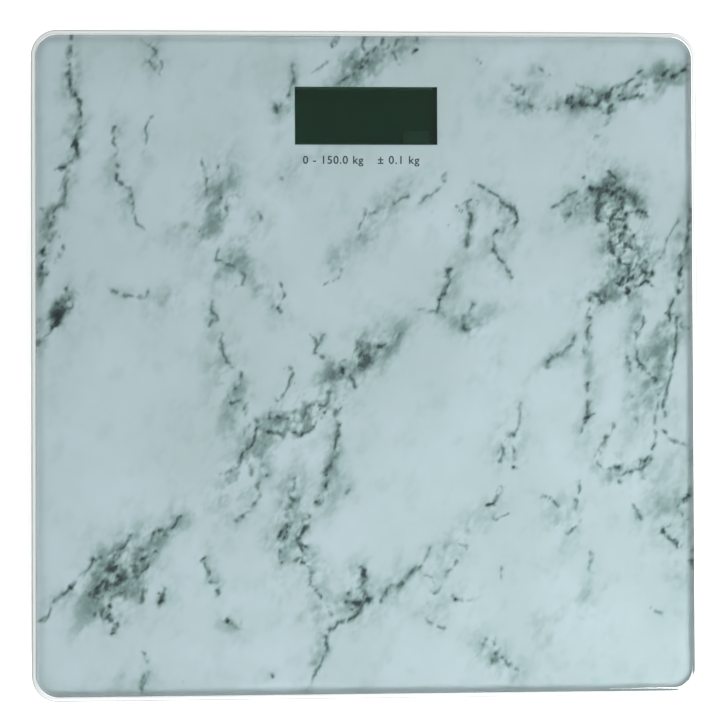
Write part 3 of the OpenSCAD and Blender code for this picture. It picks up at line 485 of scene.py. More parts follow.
# dark knots on the veins: place and radius, mm
knots = [
    (-122, 88, 1.6), (-124, 84, 1.4), (-136, 42, 1.8), (-137, 35, 1.6), (-130, 20, 1.8), (-133, 15, 1.6),
    (-125, 27, 1.3), (-105, 86, 1.2), (-34, 79, 1.0), (-38, 107, 1.2), (-1, 126, 1.9), (-14, 134, 1.1),
    (-2, 134, 1.1), (21, 132, 1.2), (-1, 61, 1.0), (38, 66, 0.9), (87, 111, 2.6), (91, 110, 1.4),
    (61, 64, 1.4), (56, 55, 1.2), (53, 48, 1.2), (95, 74, 1.4), (105, 72, 1.8), (110, 64, 2.0),
    (104, 56, 1.6), (114, 47, 1.5), (113, 41, 2.2), (110, 33, 2.8), (111, 30, 2.0), (120, 37, 1.6),
    (119, 33, 1.4), (99, 26, 1.4), (94, 27, 1.2), (93, 20, 1.2), (92, -24, 1.1), (135, 46, 1.5),
    (133, 20, 1.4), (134, 35, 1.1), (76, 0, 1.2), (97, -40, 1.3), (106, -44, 1.3), (116, -42, 1.3),
    (106, -48, 1.2), (61, -31, 1.4), (63, -43, 1.2), (-38, 24, 1.4), (-33, 21, 1.2), (-4, 8, 1.4),
    (-13, 0, 1.7), (-8, -5, 1.6), (-22, -25, 1.3), (-28, -29, 1.4), (-46, -25, 1.5), (-12, -26, 1.2),
    (-12, -37, 1.2), (-17, -47, 1.1), (-18, -51, 1.1), (35, 36, 1.2), (30, 27, 1.4), (42, 15, 2.0),
    (-124, -92, 1.2), (-114, -83, 1.4), (-93, -81, 1.7), (-98, -81, 1.5), (-106, -87, 1.8),
    (-103, -89, 1.4), (-113, -94, 1.7), (-110, -98, 1.7), (-108, -101, 1.3), (-113, -104, 1.5),
    (-109, -105, 1.6), (-105, -112, 1.2), (-87, -69, 1.0), (-87, -100, 1.2), (-69, -82, 1.0),
    (-58, -107, 1.1), (-53, -64, 1.1), (-51, -61, 1.1), (-32, -54, 1.3), (-31, -56, 1.4), (-32, -60, 1.2),
    (-37, -77, 1.2), (-36, -82, 1.2), (-26, -67, 1.1), (-28, -71, 1.3), (-25, -75, 1.2), (-25, -87, 1.1),
    (-20, -100, 1.1), (-9, -52, 1.0), (-6, -87, 1.2), (-1, -99, 1.6), (-5, -100, 1.4), (-10, -101, 1.2),
    (-17, -115, 1.2), (14, -92, 1.1), (5, -99, 1.1), (37, -99, 1.0), (51, -58, 1.1), (76, -56, 1.0),
    (89, -51, 1.1), (114, -64, 1.0), (124, -71, 1.1), (131, -77, 1.1), (136, -56, 1.2), (137, -83, 1.1),
    (54, -116, 1.1), (58, -125, 1.2), (60, -129, 1.1), (-94, -135, 1.0), (-41, -130, 0.9),
]

# patches of crumbs: place, half sizes, turn in degrees and how thick they lie
crumbs = [
    (103, 72, 13, 8, -40, 0.92), (108, 56, 10, 14, 20, 0.94), (112, 37, 9, 11, 0, 0.98),
    (98, 28, 8, 4, 20, 0.6), (88, 110, 8, 4, 0, 0.85), (108, 114, 12, 3, 28, 0.7),
    (68, 111, 9, 4, 0, 0.5), (-3, 127, 16, 6, 45, 0.6), (-10, 1, 13, 6, 45, 0.56),
    (-24, -24, 20, 4, 36, 0.62), (-102, -84, 14, 8, 50, 0.66), (-109, -98, 8, 7, 40, 0.72),
    (-33, -70, 6, 18, -8, 0.66), (-26, -80, 4, 12, 0, 0.45), (-5, -97, 5, 9, 0, 0.55),
    (-32, -55, 4, 7, 0, 0.66), (-130, 20, 9, 5, 48, 0.75), (-124, 86, 3, 9, -30, 0.55),
    (-136, 42, 3, 9, 0, 0.6), (-63, 66, 20, 9, 75, 0.5), (-45, 34, 12, 6, -50, 0.42),
    (30, 60, 18, 14, 60, 0.42), (58, 60, 6, 10, 20, 0.42), (124, 4, 6, 32, -14, 0.4),
    (108, -45, 14, 6, 0, 0.48), (60, -34, 4, 14, -12, 0.45), (54, -122, 11, 5, -48, 0.52),
    (84, -64, 16, 10, 60, 0.32), (130, -68, 8, 14, 0, 0.42), (36, -96, 14, 10, 20, 0.34),
    (-52, -18, 7, 22, 8, 0.44), (-14, -38, 4, 20, -8, 0.46),
]

# soft grey clouds: place, half sizes, turn in degrees and depth
clouds = [
    (-123, 112, 4, 28, 0, 0.42), (-130, 66, 4, 26, -20, 0.45), (-136, 44, 4, 11, -8, 0.6),
    (-129, 22, 11, 5, 48, 0.8), (-90, 130, 5, 9, 0, 0.3), (-103, 72, 5, 16, 14, 0.3),
    (-91, 97, 4, 10, 0, 0.28), (-64, 68, 22, 10, 75, 0.44), (-78, 62, 12, 6, 80, 0.32),
    (-54, 46, 18, 8, 60, 0.38), (-84, 26, 12, 6, 10, 0.22), (-42, 30, 12, 6, -60, 0.36),
    (-65, 18, 4, 14, 10, 0.28), (-33, 112, 4, 14, -15, 0.32), (0, 128, 20, 9, 50, 0.5),
    (-28, 82, 12, 5, 30, 0.24), (16, 134, 12, 5, 40, 0.4), (6, 62, 30, 6, 48, 0.32),
    (-12, 44, 12, 5, 60, 0.3), (42, 56, 5, 14, 0, 0.34), (34, 36, 14, 5, 70, 0.36),
    (58, 62, 7, 13, 20, 0.4), (54, 46, 5, 10, 0, 0.3), (66, 111, 13, 6, 0, 0.38),
    (92, 111, 20, 6, 4, 0.62), (120, 118, 22, 6, 28, 0.5), (86, 67, 12, 7, 30, 0.36),
    (104, 68, 13, 12, -40, 0.98), (111, 47, 12, 18, 15, 0.98), (102, 29, 14, 6, 20, 0.6),
    (134, 44, 5, 26, -8, 0.42), (124, 4, 9, 34, -14, 0.44), (115, 14, 6, 18, -8, 0.4),
    (109, -45, 16, 7, 0, 0.4), (93, -4, 3, 34, 0, 0.24), (60, -32, 6, 18, -12, 0.38),
    (42, 16, 10, 6, -30, 0.42), (52, 22, 12, 5, 30, 0.18), (-57, -10, 9, 26, 8, 0.32),
    (-4, 0, 24, 8, 36, 0.78), (-28, -22, 24, 9, 36, 0.76), (-50, -44, 22, 10, 55, 0.52),
    (-72, -62, 18, 7, 30, 0.25), (-14, -40, 5, 22, -8, 0.36), (-33, -68, 8, 24, -8, 0.6),
    (-24, -82, 6, 18, 20, 0.42), (-104, -88, 22, 12, 55, 0.72), (-88, -72, 16, 7, 40, 0.42),
    (-122, -92, 20, 5, 42, 0.34), (-18, -104, 12, 10, -40, 0.34), (-5, -97, 8, 10, 0, 0.5),
    (16, -91, 20, 6, 28, 0.36), (38, -74, 22, 6, 55, 0.3), (-22, -122, 5, 16, -25, 0.34),
    (54, -122, 13, 7, -48, 0.44), (50, -62, 12, 6, 60, 0.28), (84, -66, 14, 8, 60, 0.26),
    (78, -60, 8, 5, 40, 0.24), (132, -70, 7, 22, 0, 0.34), (126, -64, 14, 6, -50, 0.3),
    (-66, -88, 4, 12, 15, 0.26), (-56, -108, 7, 5, 0, 0.34), (28, -106, 8, 8, 0, 0.22),
    (42, -98, 8, 7, 40, 0.24), (92, -100, 12, 7, 60, 0.22), (76, -110, 10, 8, 40, 0.16),
    (52, 4, 8, 14, 0, 0.12), (80, 4, 12, 4, 40, 0.28), (134, -42, 8, 8, 0, 0.24),
    (74, 124, 8, 5, 0, 0.2), (96, 92, 10, 4, 70, 0.26), (-105, -130, 8, 8, 0, 0.18),
]


def latticeNoise(x, y, spacing, seed):
    # smooth value noise over the plane, one random value every spacing mm
    reach = 210     # half the side of the noise's square, which covers the turned platform
    rng = np.random.default_rng(seed)
    count = int(2 * reach / spacing) + 3
    values = rng.uniform(-1, 1, (count, count))
    u = (x + reach) / spacing
    v = (y + reach) / spacing
    i = np.floor(u).astype(int)
    j = np.floor(v).astype(int)
    s = u - i
    t = v - j
    s = s * s * (3 - 2 * s)
    t = t * t * (3 - 2 * t)
    low = values[j, i] * (1 - s) + values[j, i + 1] * s
    high = values[j + 1, i] * (1 - s) + values[j + 1, i + 1] * s
    return low * (1 - t) + high * t


def grainNoise(x, y, spacing, seed, layers=3, gain=0.6):
    # layered noise with a spread of about 1 either side of 0
    total = np.zeros_like(x)
    size = 1.0
    for k in range(layers):
        total += size * latticeNoise(x, y, spacing / 2 ** k, seed + k)
        size *= gain
    return total / total.std()


def softStep(value, low, high):
    t = np.clip((value - low) / (high - low), 0, 1)
    return t * t * (3 - 2 * t)


def intoOval(x, y, oval):
    # distance from the middle of a turned oval, 1 on its edge
    cx, cy, rx, ry, turn = oval[:5]
    a = math.radians(turn)
    u = (x - cx) * math.cos(a) + (y - cy) * math.sin(a)
    v = (y - cy) * math.cos(a) - (x - cx) * math.sin(a)
    return np.hypot(u / rx, v / ry)


def spreadOvals(field, x, y, ovals):
    # each oval's own depth at its middle, fading past its edge
    for oval in ovals:
        field = np.maximum(field, oval[5] * np.exp(-intoOval(x, y, oval) ** 2.2))
    return field


def drawMarble(x, y):
    # darkness of the print and tint of its ground at each point, both 0..1
    stray, reach = marble["wander"], marble["reach"]
    a = math.radians(marble["lean"])
    along = (x * math.cos(a) + y * math.sin(a)) / marble["stretch"]
    across = y * math.cos(a) - x * math.sin(a)
    wx = x + stray * (0.8 * grainNoise(x, y, 8.0, 11, 2) + 0.3 * grainNoise(along, across, 1.8, 31, 2))
    wy = y + stray * (0.8 * grainNoise(x, y, 8.0, 21, 2) + 0.3 * grainNoise(along, across, 1.8, 41, 2))
    grain = grainNoise(along, across, 1.1, 51, 2, 0.5)
    patch = grainNoise(along, across, 2.3, 61, 2)
    mist = grainNoise(along, across, 7.0, 71, 4, 0.7)
    line = np.zeros_like(x)
    near = np.zeros_like(x)
    for depth, points in veins:
        width, dark, halo = [base + more * depth for base, more in
                             (marble["lineWidth"], marble["lineDark"], marble["haloWidth"])]
        for (ax, ay), (bx, by) in zip(points[:-1], points[1:]):
            rows = np.where((y[:, 0] > min(ay, by) - reach) & (y[:, 0] < max(ay, by) + reach))[0]
            cols = np.where((x[0] > min(ax, bx) - reach) & (x[0] < max(ax, bx) + reach))[0]
            if not len(rows) or not len(cols):
                continue
            part = np.ix_(rows, cols)
            px, py = wx[part], wy[part]
            length2 = (bx - ax) ** 2 + (by - ay) ** 2
            t = np.clip(((px - ax) * (bx - ax) + (py - ay) * (by - ay)) / length2, 0, 1)
            away = np.hypot(px - ax - t * (bx - ax), py - ay - t * (by - ay))
            line[part] = np.maximum(line[part], dark * np.exp(-(away / width) ** 2))
            near[part] = np.maximum(near[part], depth * np.exp(-(away / halo) ** 1.5))
    knotDepth, knotSpread = marble["knotHalo"]
    for kx, ky, radius in knots:
        away = np.hypot(wx - kx, wy - ky)
        line = np.maximum(line, marble["knotDark"] * np.exp(-(away / radius) ** 2))
        near = np.maximum(near, knotDepth * np.exp(-(away / (knotSpread * radius)) ** 1.5))
    haze = spreadOvals(0.40 * near, wx, wy, clouds)
    crowd = spreadOvals(0.80 * near, wx, wy, crumbs)
    # lines come and go along their length, and crumbs gather round them
    line = line * np.clip(0.72 + 0.42 * patch + 0.22 * grain, 0.05, 1.3)
    specks = softStep(0.7 * grain + 0.7 * patch, 3.0 - 3.2 * crowd, 4.6 - 3.2 * crowd)
    cloud = haze * np.clip(0.62 + 0.42 * mist + 0.16 * patch, 0, 1.5)
    faint = 0.05 * softStep(mist, 0.2, 2.4)
    clear = (1 - 0.90 * np.clip(line, 0, 1)) * (1 - 0.60 * specks) * (1 - 0.70 * np.clip(cloud, 0, 1))
    ink = 1 - clear * (1 - faint)
    tint = np.clip(0.5 + 0.25 * grainNoise(wx, wy, 34.0, 91, 4, 0.6), 0, 1)
    return np.clip(ink, 0, 1), tint


def stationsWith(low, high, breaks, spacing):
    edges = sorted({low, high, *breaks})
    parts = []
    for a, b in zip(edges[:-1], edges[1:]):
        count = max(2, round((b - a) / spacing))
        parts.append(np.linspace(a, b, count, endpoint=False))
    return np.concatenate(parts + [[high]])


def makePrint():
    # fine sheet with the display's window left open and round corners
    lap = windowLap / mm
    wide = (polariserHigh[0] - polariserLow[0]) / 2 / mm - lap
    windowFront, windowRear = polariserLow[1] / mm + lap, polariserHigh[1] / mm - lap
    left, right = filmLow[0] / mm, filmHigh[0] / mm
    front, rear = filmLow[1] / mm, filmHigh[1] / mm
    corner = marble["corner"]
    xs = stationsWith(left, right, [left + corner, -wide, wide, right - corner], marble["grid"])
    ys = stationsWith(front, rear, [front + corner, windowFront, windowRear, rear - corner],
                      marble["grid"])
    gridX, gridY = np.meshgrid(xs, ys)
    # squares at the corners are pressed into quarter circles
    overX = np.maximum(np.abs(gridX) - (right - corner), 0)
    overY = np.maximum(np.abs(gridY) - (rear - corner), 0)
    longest = np.hypot(overX, overY)
    shrink = np.where(longest > 0, np.maximum(overX, overY) / np.maximum(longest, 1e-9), 1)
    gridX = np.sign(gridX) * (np.minimum(np.abs(gridX), right - corner) + overX * shrink)
    gridY = np.sign(gridY) * (np.minimum(np.abs(gridY), rear - corner) + overY * shrink)
    top = filmHigh[2] - marble["below"] * mm
    count = gridX.size
    points = np.stack([gridX.ravel() * mm, gridY.ravel() * mm, np.full(count, top)], 1)
    columns = len(xs)
    i, j = np.meshgrid(np.arange(columns - 1), np.arange(len(ys) - 1))
    midX = (xs[:-1] + xs[1:]) / 2
    midY = (ys[:-1] + ys[1:]) / 2
    inWindow = (np.abs(midX)[None, :] < wide) & ((midY > windowFront) & (midY < windowRear))[:, None]
    keep = ~inWindow.ravel()
    first = (j * columns + i).ravel()[keep]
    quads = np.stack([first, first + 1, first + columns + 1, first + columns], 1)
    used = np.zeros(count, bool)
    used[quads.ravel()] = True
    renumber = np.cumsum(used) - 1
    quads = renumber[quads]
    mesh = bpy.data.meshes.new("marblePrint")
    mesh.vertices.add(int(used.sum()))
    mesh.vertices.foreach_set("co", points[used].ravel())
    mesh.loops.add(quads.size)
    mesh.loops.foreach_set("vertex_index", quads.ravel())
    mesh.polygons.add(len(quads))
    mesh.polygons.foreach_set("loop_start", np.arange(0, quads.size, 4))
    mesh.update(calc_edges=True)
    ink, tint = drawMarble(gridX, gridY)
    for name, field in (("ink", ink), ("tint", tint)):
        layer = mesh.attributes.new(name, "FLOAT", "POINT")
        layer.data.foreach_set("value", field.ravel()[used].astype(np.float32))
    # the film's edges and its underside
    thick = (filmHigh[2] - filmLow[2]) - 2 * marble["below"] * mm
    body = bmesh.new()
    body.from_mesh(mesh)
    rim = [e for e in body.edges if e.is_boundary]
    made = bmesh.ops.extrude_edge_only(body, edges=rim)["geom"]
    lower = [v for v in made if isinstance(v, bmesh.types.BMVert)]
    for v in lower:
        v.co.z -= thick
    loops = [e for e in made if isinstance(e, bmesh.types.BMEdge) and e.is_boundary]
    bmesh.ops.triangle_fill(body, use_beauty=False, edges=loops, normal=(0, 0, -1))
    body.to_mesh(mesh)
    body.free()
    return addPiece("marblePrint", mesh)


def marbleInk(name):
    tones = marble["tones"]
    material, tree, shader, point = newMaterial(name)
    mottle = noiseTexture(tree, point, 160.0, 4.0, 0.65, 0.5)
    fine = noiseTexture(tree, point, 1500.0, 3.0, 0.7)
    inkField = addNode(tree, "ShaderNodeAttribute", attribute_name="ink").outputs["Fac"]
    tintField = addNode(tree, "ShaderNodeAttribute", attribute_name="tint").outputs["Fac"]
    ground = mathNode(tree, "MULTIPLY_ADD", mathNode(tree, "SUBTRACT", mottle, 0.5), 0.6, tintField)
    color = mixColor(tree, mapRange(tree, ground, 0.0, 1.0), tones["warm"], tones["cool"])
    # dot grain of the print, which only shows where there is ink
    grain = mathNode(tree, "MULTIPLY", mathNode(tree, "SUBTRACT", fine, 0.5), marble["dotGrain"])
    inked = mathNode(tree, "MULTIPLY_ADD", grain, inkField, inkField)
    start = 0.0
    for stop, tone in marble["inkStops"]:
        color = mixColor(tree, mapRange(tree, inked, start, stop), color, tones[tone])
        start = stop
    tree.links.new(color, shader.inputs["Base Color"])
    shader.inputs["Specular IOR Level"].default_value = 0.2
    tree.links.new(mapRange(tree, fine, 0.3, 0.7, 0.5, 0.62), shader.inputs["Roughness"])
    bumpFrom(tree, shader, fine, 0.1, 0.005 * mm)
    return material


glassShape = {
    "corner": 11.0 * mm,
    "edge": 2.5 * mm,            # radius of the ground edge
    "shoulder": 3.0 * mm,        # width of the polished slope inside it
    "slope": 25.0,               # steepest part of that slope, degrees
    "arcSteps": 28,
    "edgeSteps": 12,
    "rimShadeReach": 2.2 * mm,         # how far in the ground band with its painted shade reaches
    "supportRing": 0.4 * mm,
}


def roundedOutline(halfW, halfD, radius, steps):
    points = []
    for k, (sx, sy) in enumerate(((1, 1), (-1, 1), (-1, -1), (1, -1))):
        for i in range(steps + 1):
            a = math.radians(90 * k + 90 * i / steps)
            points.append((sx * (halfW - radius) + radius * math.cos(a),
                           sy * (halfD - radius) + radius * math.sin(a)))
    return points


def glassProfile():
    # inset and height of each ring, from the underside round the edge to the top
    low, high = glassLow[2], glassHigh[2]
    edge, steps = glassShape["edge"], glassShape["edgeSteps"]
    slope = math.radians(glassShape["slope"])
    drop = glassShape["shoulder"] * math.tan(slope) / 2
    waist = high - drop - edge * math.cos(slope)
    under = min(edge, waist - low)
    profile = [(under + glassShape["supportRing"], low)]
    for i in range(steps + 1):
        a = math.radians(90 * i / steps)
        profile.append((under - under * math.sin(a), low + under - under * math.cos(a)))
    for i in range(steps + 1):
        a = (math.pi / 2 - slope) * i / steps
        profile.append((edge - edge * math.cos(a), waist + edge * math.sin(a)))
    start = profile[-1][0]
    for i in range(1, steps + 1):
        u = i / steps
        profile.append((start + u * glassShape["shoulder"], high - drop * (1 - u) ** 2))
    profile.append((profile[-1][0] + glassShape["supportRing"], high))
    return profile


def makeGlass():
    halfW = (glassHigh[0] - glassLow[0]) / 2
    halfD = (glassHigh[1] - glassLow[1]) / 2
    profile = glassProfile()
    body = bmesh.new()
    rings = []
    for inset, z in profile:
        outline = roundedOutline(halfW - inset, halfD - inset, glassShape["corner"] - inset,
                                 glassShape["arcSteps"])
        rings.append([body.verts.new((x, y, z)) for x, y in outline])
    count = len(rings[0])
    rimShadeReach = glassShape["rimShadeReach"]
    for r, (lower, upper) in enumerate(zip(rings[:-1], rings[1:])):
        # faces of the ground band take the painted-shade finish in slot 1
        outside = max(profile[r][0], profile[r + 1][0]) < rimShadeReach and r > 0
        for k in range(count):
            n = (k + 1) % count
            face = body.faces.new((lower[k], lower[n], upper[n], upper[k]))
            face.smooth = True
            face.material_index = 1 if outside else 0
    under = body.faces.new(list(reversed(rings[0])))
    over = body.faces.new(rings[-1])
    under.smooth = over.smooth = True
    mesh = bpy.data.meshes.new("platformGlass")
    body.normal_update()
    body.to_mesh(mesh)
    body.free()
    mesh.materials.append(polishedGlass("temperedGlass"))
    waist = profile[glassShape["edgeSteps"] + 2][1]
    mesh.materials.append(groundEdgePaintedShade("groundEdgePaintedShade", waist))
    return addPiece("platformGlass", mesh)


legend = {
    # middle and width in mm, then the words
    "words": ((-14.0, 26.0, "0 - 150.0 kg"), (13.5, 18.0, "\u00b1 0.1 kg")),
    "height": 4.7 * mm,
    "baseline": 8.0 * mm,        # below the window's lower edge
    "weight": 0.07 * mm,         # how much each letter is thickened
    "thick": 0.004 * mm,
    "under": 0.015 * mm,         # below the top of the film
    "ink": (0.012, 0.018, 0.020),
}


def makeLegend():
    made = []
    windowLow = polariserLow[1] + windowLap
    for k, (middle, width, words) in enumerate(legend["words"]):
        curve = bpy.data.curves.new("legend%d" % k, "FONT")
        curve.body = words
        curve.size = legend["height"]
        curve.align_x = "CENTER"
        curve.offset = legend["weight"]
        curve.extrude = legend["thick"]
        text = addPiece("legend%d" % k, curve)
        bpy.context.view_layer.update()
        # letters are spaced out until the words are as wide as they are printed
        spare = width * mm - text.dimensions.x
        curve.space_character = 1 + spare / (len(words) - 1) / (0.6 * legend["height"])
        text.location = (middle * mm, windowLow - legend["baseline"], filmHigh[2] - legend["under"])
        bpy.context.view_layer.update()
        depsgraph = bpy.context.evaluated_depsgraph_get()
        mesh = bpy.data.meshes.new_from_object(text.evaluated_get(depsgraph))
        mesh.transform(text.matrix_world)
        bpy.data.objects.remove(text)
        piece = addPiece("legendPrint%d" % k, mesh)
        mesh.materials.clear()
        mesh.materials.append(smoothSleeve("legendInk", legend["ink"], 0.5))
        made.append(piece)
    return made


display = {
    "ground": (0.0042, 0.0232, 0.0116),
    "upper": (0.0145, 0.0410, 0.0232),
    "lower": (0.0107, 0.0309, 0.0199),
    # side: painted shadow down the right edge of the window
    "side": (0.0065, 0.0150, 0.0107),
    "window": (0.0112, 0.0319, 0.0194),
    "topBand": 1.1 * mm,
    "bottomBand": 0.8 * mm,
    "rightShadowWidth": 1.9 * mm,
    "tick": 0.7 * mm,            # half width of the dark line beside the paler patch
    "palerPatch": (15.5 * mm, 26.5 * mm, 1.2 * mm, 5.6 * mm),   # paler patch: left, right, bottom and top
    "soft": 0.25 * mm,           # blur at the edges of the bands
}


def displayFilm(name):
    # polariser over the segments: paler along the top and bottom seals, with a painted shadow down the
    # right side
    material, tree, shader, point = newMaterial(name)
    split = addNode(tree, "ShaderNodeSeparateXYZ")
    tree.links.new(point, split.inputs["Vector"])
    x, y = split.outputs["X"], split.outputs["Y"]
    right = polariserHigh[0] - windowLap
    bottom, top = polariserLow[1] + windowLap, polariserHigh[1] - windowLap
    soft = display["soft"]
    drift = noiseTexture(tree, point, 60.0, 3.0, 0.6)
    dust = noiseTexture(tree, point, 900.0, 3.0, 0.7)
    ground = display["ground"]
    color = mixColor(tree, mapRange(tree, drift, 0.35, 0.65), shade(ground, 0.97), shade(ground, 1.03))
    left, far, low, high = display["palerPatch"]
    low, high = bottom + low, bottom + high
    across = mathNode(tree, "MULTIPLY", mapRange(tree, x, left - soft, left + soft),
                      mapRange(tree, x, far + soft, far - soft))
    upward = mathNode(tree, "MULTIPLY", mapRange(tree, y, low - soft, low + soft),
                      mapRange(tree, y, high + soft, high - soft))
    color = mixColor(tree, mathNode(tree, "MULTIPLY", across, upward), color, display["window"])
    tick = mathNode(tree, "ABSOLUTE", mathNode(tree, "SUBTRACT", x, left - display["tick"]))
    mark = mathNode(tree, "MULTIPLY", mapRange(tree, tick, display["tick"], 0.0),
                    mapRange(tree, y, high, high - soft))
    color = mixColor(tree, mark, color, shade(ground, 0.7))
    edge = top - display["topBand"]
    color = mixColor(tree, mapRange(tree, y, edge - soft, edge + soft), color, display["upper"])
    edge = bottom + display["bottomBand"]
    color = mixColor(tree, mapRange(tree, y, edge + soft, edge - soft), color, display["lower"])
    # painted shadow down the right side of the window
    edge = right - display["rightShadowWidth"]
    color = mixColor(tree, mapRange(tree, x, edge - soft, edge + soft), color, display["side"])
    coat(tree, shader, color, mapRange(tree, dust, 0.3, 0.8, 0.12, 0.2))
    bumpFrom(tree, shader, dust, 0.1, 0.004 * mm)
    return material


loadCell = {
    # how far each cell is turned in the housing, degrees
    "turns": {"front_left": 0, "front_right": 0, "rear_left": -90, "rear_right": 90},
    "halfWidth": 10.0 * mm,      # middle of the side slots
    "tip": -9.0 * mm,            # middle of the end slot
    "root": 11.5 * mm,           # where the tongue joins the frame
    "bend": (10.5 * mm, 4.6 * mm),   # where the bending starts, and where the foot's seat begins
    "cuts": 8,                   # lengths that the tongue is cut into
}


def cellPart(corner, finish, wanted):
    # one part of a load cell: the free tongue, or the frame round it
    source = nodes["load_cell_" + corner]
    low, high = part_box("load_cell_" + corner)
    middle = Vector(((low[0] + high[0]) / 2, (low[1] + high[1]) / 2, 0))
    turn = Matrix.Rotation(math.radians(loadCell["turns"][corner]), 4, "Z")
    toCell = (Matrix.Translation(middle) @ turn).inverted()
    body = bmesh.new()
    body.from_mesh(source.data)
    body.transform(toCell)
    bmesh.ops.remove_doubles(body, verts=body.verts, dist=0.001 * mm)
    root, tip, half = loadCell["root"], loadCell["tip"], loadCell["halfWidth"]
    cutLines = [root] + [tip + (root - tip) * k / loadCell["cuts"] for k in range(1, loadCell["cuts"])]
    for y in cutLines:
        bmesh.ops.bisect_plane(body, geom=body.verts[:] + body.edges[:] + body.faces[:],
                               plane_co=(0, y, 0), plane_no=(0, 1, 0))
    unwanted = []
    for face in body.faces:
        point = face.calc_center_median()
        onTongue = abs(point.x) < half and tip < point.y < root
        if onTongue != (wanted == "tongue"):
            unwanted.append(face)
    bmesh.ops.delete(body, geom=unwanted, context="FACES")
    bmesh.ops.holes_fill(body, edges=[e for e in body.edges if e.is_boundary], sides=0)
    bmesh.ops.recalc_face_normals(body, faces=body.faces)
    body.transform(toCell.inverted())
    mesh = bpy.data.meshes.new("loadCell_%s_%s" % (wanted, corner))
    body.to_mesh(mesh)
    body.free()
    mesh.materials.append(finish)
    piece = addPiece(mesh.name, mesh)
    start, end = [Matrix.Translation(middle) @ turn @ Vector((0, y, 0)) for y in loadCell["bend"]]
    return piece, start, end


# finishes of the parts that keep their CAD shape
print("finishes")
housingWhite = mouldedPlastic("housingPlastic", (0.47, 0.47, 0.46))
darkPlastic = mouldedPlastic("darkPlastic", (0.022, 0.023, 0.025), 0.4)
greyPlastic = mouldedPlastic("greyPlastic", (0.085, 0.09, 0.095), 0.5)
padRubber = mouldedRubber("padRubber", (0.018, 0.018, 0.019))
platedSteel = drawnSteel("platedSteel", (0.62, 0.62, 0.61), 0.25)
cellSteel = drawnSteel("loadCellSteel", (0.45, 0.46, 0.47), 0.34)

wireTones = {"Red": (0.45, 0.015, 0.012), "White": (0.78, 0.78, 0.75), "Black": (0.012, 0.012, 0.013)}
finishes = {
    "foam_tape": foamCells("foamTape", (0.82, 0.82, 0.78)),
    "top_frame": housingWhite,
    "bottom_cover": housingWhite,
    "battery_door": housingWhite,
    "lcd_panel": smoothSleeve("lcdGlass", (0.012, 0.022, 0.016), 0.12),
    "lcd_polariser": displayFilm("polariserFilm"),
    "lcd_holder": darkPlastic,
    "zebra_strips": padRubber,
    "backlight_panel": smoothSleeve("lightGuide", (0.82, 0.85, 0.82), 0.3),
    "circuit_board": laminate("boardLaminate", (0.015, 0.12, 0.05)),
    "chip_blob": smoothSleeve("chipResin", (0.008, 0.008, 0.009), 0.2),
    "board_parts": darkPlastic,
    "unit_switch": darkPlastic,
    "switch_plunger": mouldedPlastic("plungerPlastic", (0.16, 0.05, 0.03)),
    "unit_button": greyPlastic,
    "battery_cell_rear": batterySleeve("batterySleeve"),
    "battery_cell_front": batterySleeve("batterySleeveFront"),
    "contact_springs": platedSteel,
    "contact_plates": platedSteel,
    "contact_bridge": platedSteel,
    "battery_wire_red": smoothSleeve("wireRed", wireTones["Red"]),
    "battery_wire_black": smoothSleeve("wireBlack", wireTones["Black"]),
    "gauge_sealant": smoothSleeve("whiteSealant", (0.82, 0.82, 0.8), 0.5),
    "housing_screws": platedSteel,
    "board_screws": platedSteel,
    "rating_label": labelFoil("labelFoil", (0.68, 0.68, 0.69)),
}
for color, tone in wireTones.items():
    finishes["sensor_wires_" + color.lower()] = smoothSleeve("sensor" + color, tone)
for corner in loadCell["turns"]:
    finishes["load_cell_" + corner] = cellSteel
    finishes["foot_" + corner] = greyPlastic
    finishes["foot_pad_" + corner] = padRubber
    finishes["foot_clip_" + corner] = platedSteel

for name, finish in finishes.items():
    nodes[name].data.materials.clear()
    nodes[name].data.materials.append(finish)

print("load cells")
for corner in loadCell["turns"]:
    cellFrame, _, _ = cellPart(corner, cellSteel, "frame")
    tongue, start, end = cellPart(corner, cellSteel, "tongue")
    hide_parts("load_cell_" + corner)
    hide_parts("load_cell_" + corner)
    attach(cellFrame, "housing")
    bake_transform(tongue)

print("glass")
glass = makeGlass()
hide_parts("glass_platform")
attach(glass, "housing")

print("marble print")
printPiece = makePrint()
printPiece.data.materials.append(marbleInk("marbleInk"))
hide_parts("printed_film")
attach(printPiece, "housing")

print("legend")
for piece in makeLegend():
    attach(piece, "housing")


room = {
    "floorSize": 6.0,
    "floorTone": (0.97, 0.97, 0.97),
    "dome": ((0.22, 0.38), (0.60, 2.35), (0.80, 2.35), (0.955, 0.10)),   # height on the sky, brightness
    "key": {"place": (0.45, -0.45, 0.60), "size": 0.35, "power": 9.9},
}


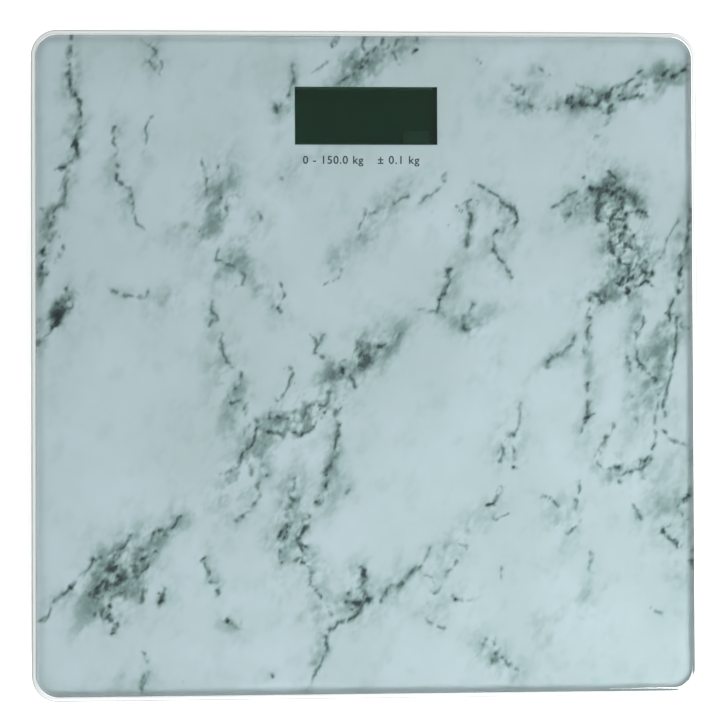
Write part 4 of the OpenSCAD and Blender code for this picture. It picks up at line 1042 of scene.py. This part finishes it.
def makeRoom():
    mesh = bpy.data.meshes.new("floor")
    half = room["floorSize"] / 2
    body = bmesh.new()
    corners = ((-half, -half), (half, -half), (half, half), (-half, half))
    body.faces.new([body.verts.new((x, y, 0)) for x, y in corners])
    body.to_mesh(mesh)
    body.free()
    floor = addPiece("floor", mesh)
    material, tree, shader, point = newMaterial("paleFloor")
    grain = noiseTexture(tree, point, 3.0, 2.0)
    tree.links.new(mixColor(tree, grain, shade(room["floorTone"], 0.985), room["floorTone"]),
                   shader.inputs["Base Color"])
    shader.inputs["Roughness"].default_value = 0.9
    shader.inputs["Specular IOR Level"].default_value = 0.0
    mesh.materials.append(material)

    world = bpy.data.worlds.new("studio")
    bpy.context.scene.world = world
    world.use_nodes = True
    tree = world.node_tree
    coord = addNode(tree, "ShaderNodeTexCoord")
    split = addNode(tree, "ShaderNodeSeparateXYZ")
    tree.links.new(coord.outputs["Generated"], split.inputs["Vector"])
    sky = room["dome"]
    dome = sky[0][1]
    for (start, before), (stop, after) in zip(sky[:-1], sky[1:]):
        step = mapRange(tree, split.outputs["Z"], start, stop, smooth=True)
        dome = mathNode(tree, "MULTIPLY_ADD", step, after - before, dome)
    tree.nodes["Background"].inputs["Color"].default_value = (1, 1, 1, 1)
    tree.links.new(dome, tree.nodes["Background"].inputs["Strength"])

    key = room["key"]
    lamp = bpy.data.lights.new("softKey", "AREA")
    lamp.size = key["size"]
    lamp.energy = key["power"]
    light = addPiece("softKey", lamp)
    light.location = key["place"]
    light.rotation_euler = (Vector((0, 0, 0)) - light.location).to_track_quat("-Z", "Y").to_euler()


view = {
    "place": (-0.0390, -0.0090, 0.8),   # metres
    "turn": (0.80, -2.645, -0.23),      # degrees
    "lens": 92.8,
    "sensor": 36.0,
}


def makeCamera():
    data = bpy.data.cameras.new("overhead")
    data.sensor_width = view["sensor"]
    data.lens = view["lens"]
    camera = addPiece("overhead", data)
    camera.location = view["place"]
    camera.rotation_euler = [math.radians(a) for a in view["turn"]]
    bpy.context.scene.camera = camera


print("room")
makeRoom()
makeCamera()
bpy.context.scene.view_settings.view_transform = "Standard"
bpy.context.scene.view_settings.look = "None"
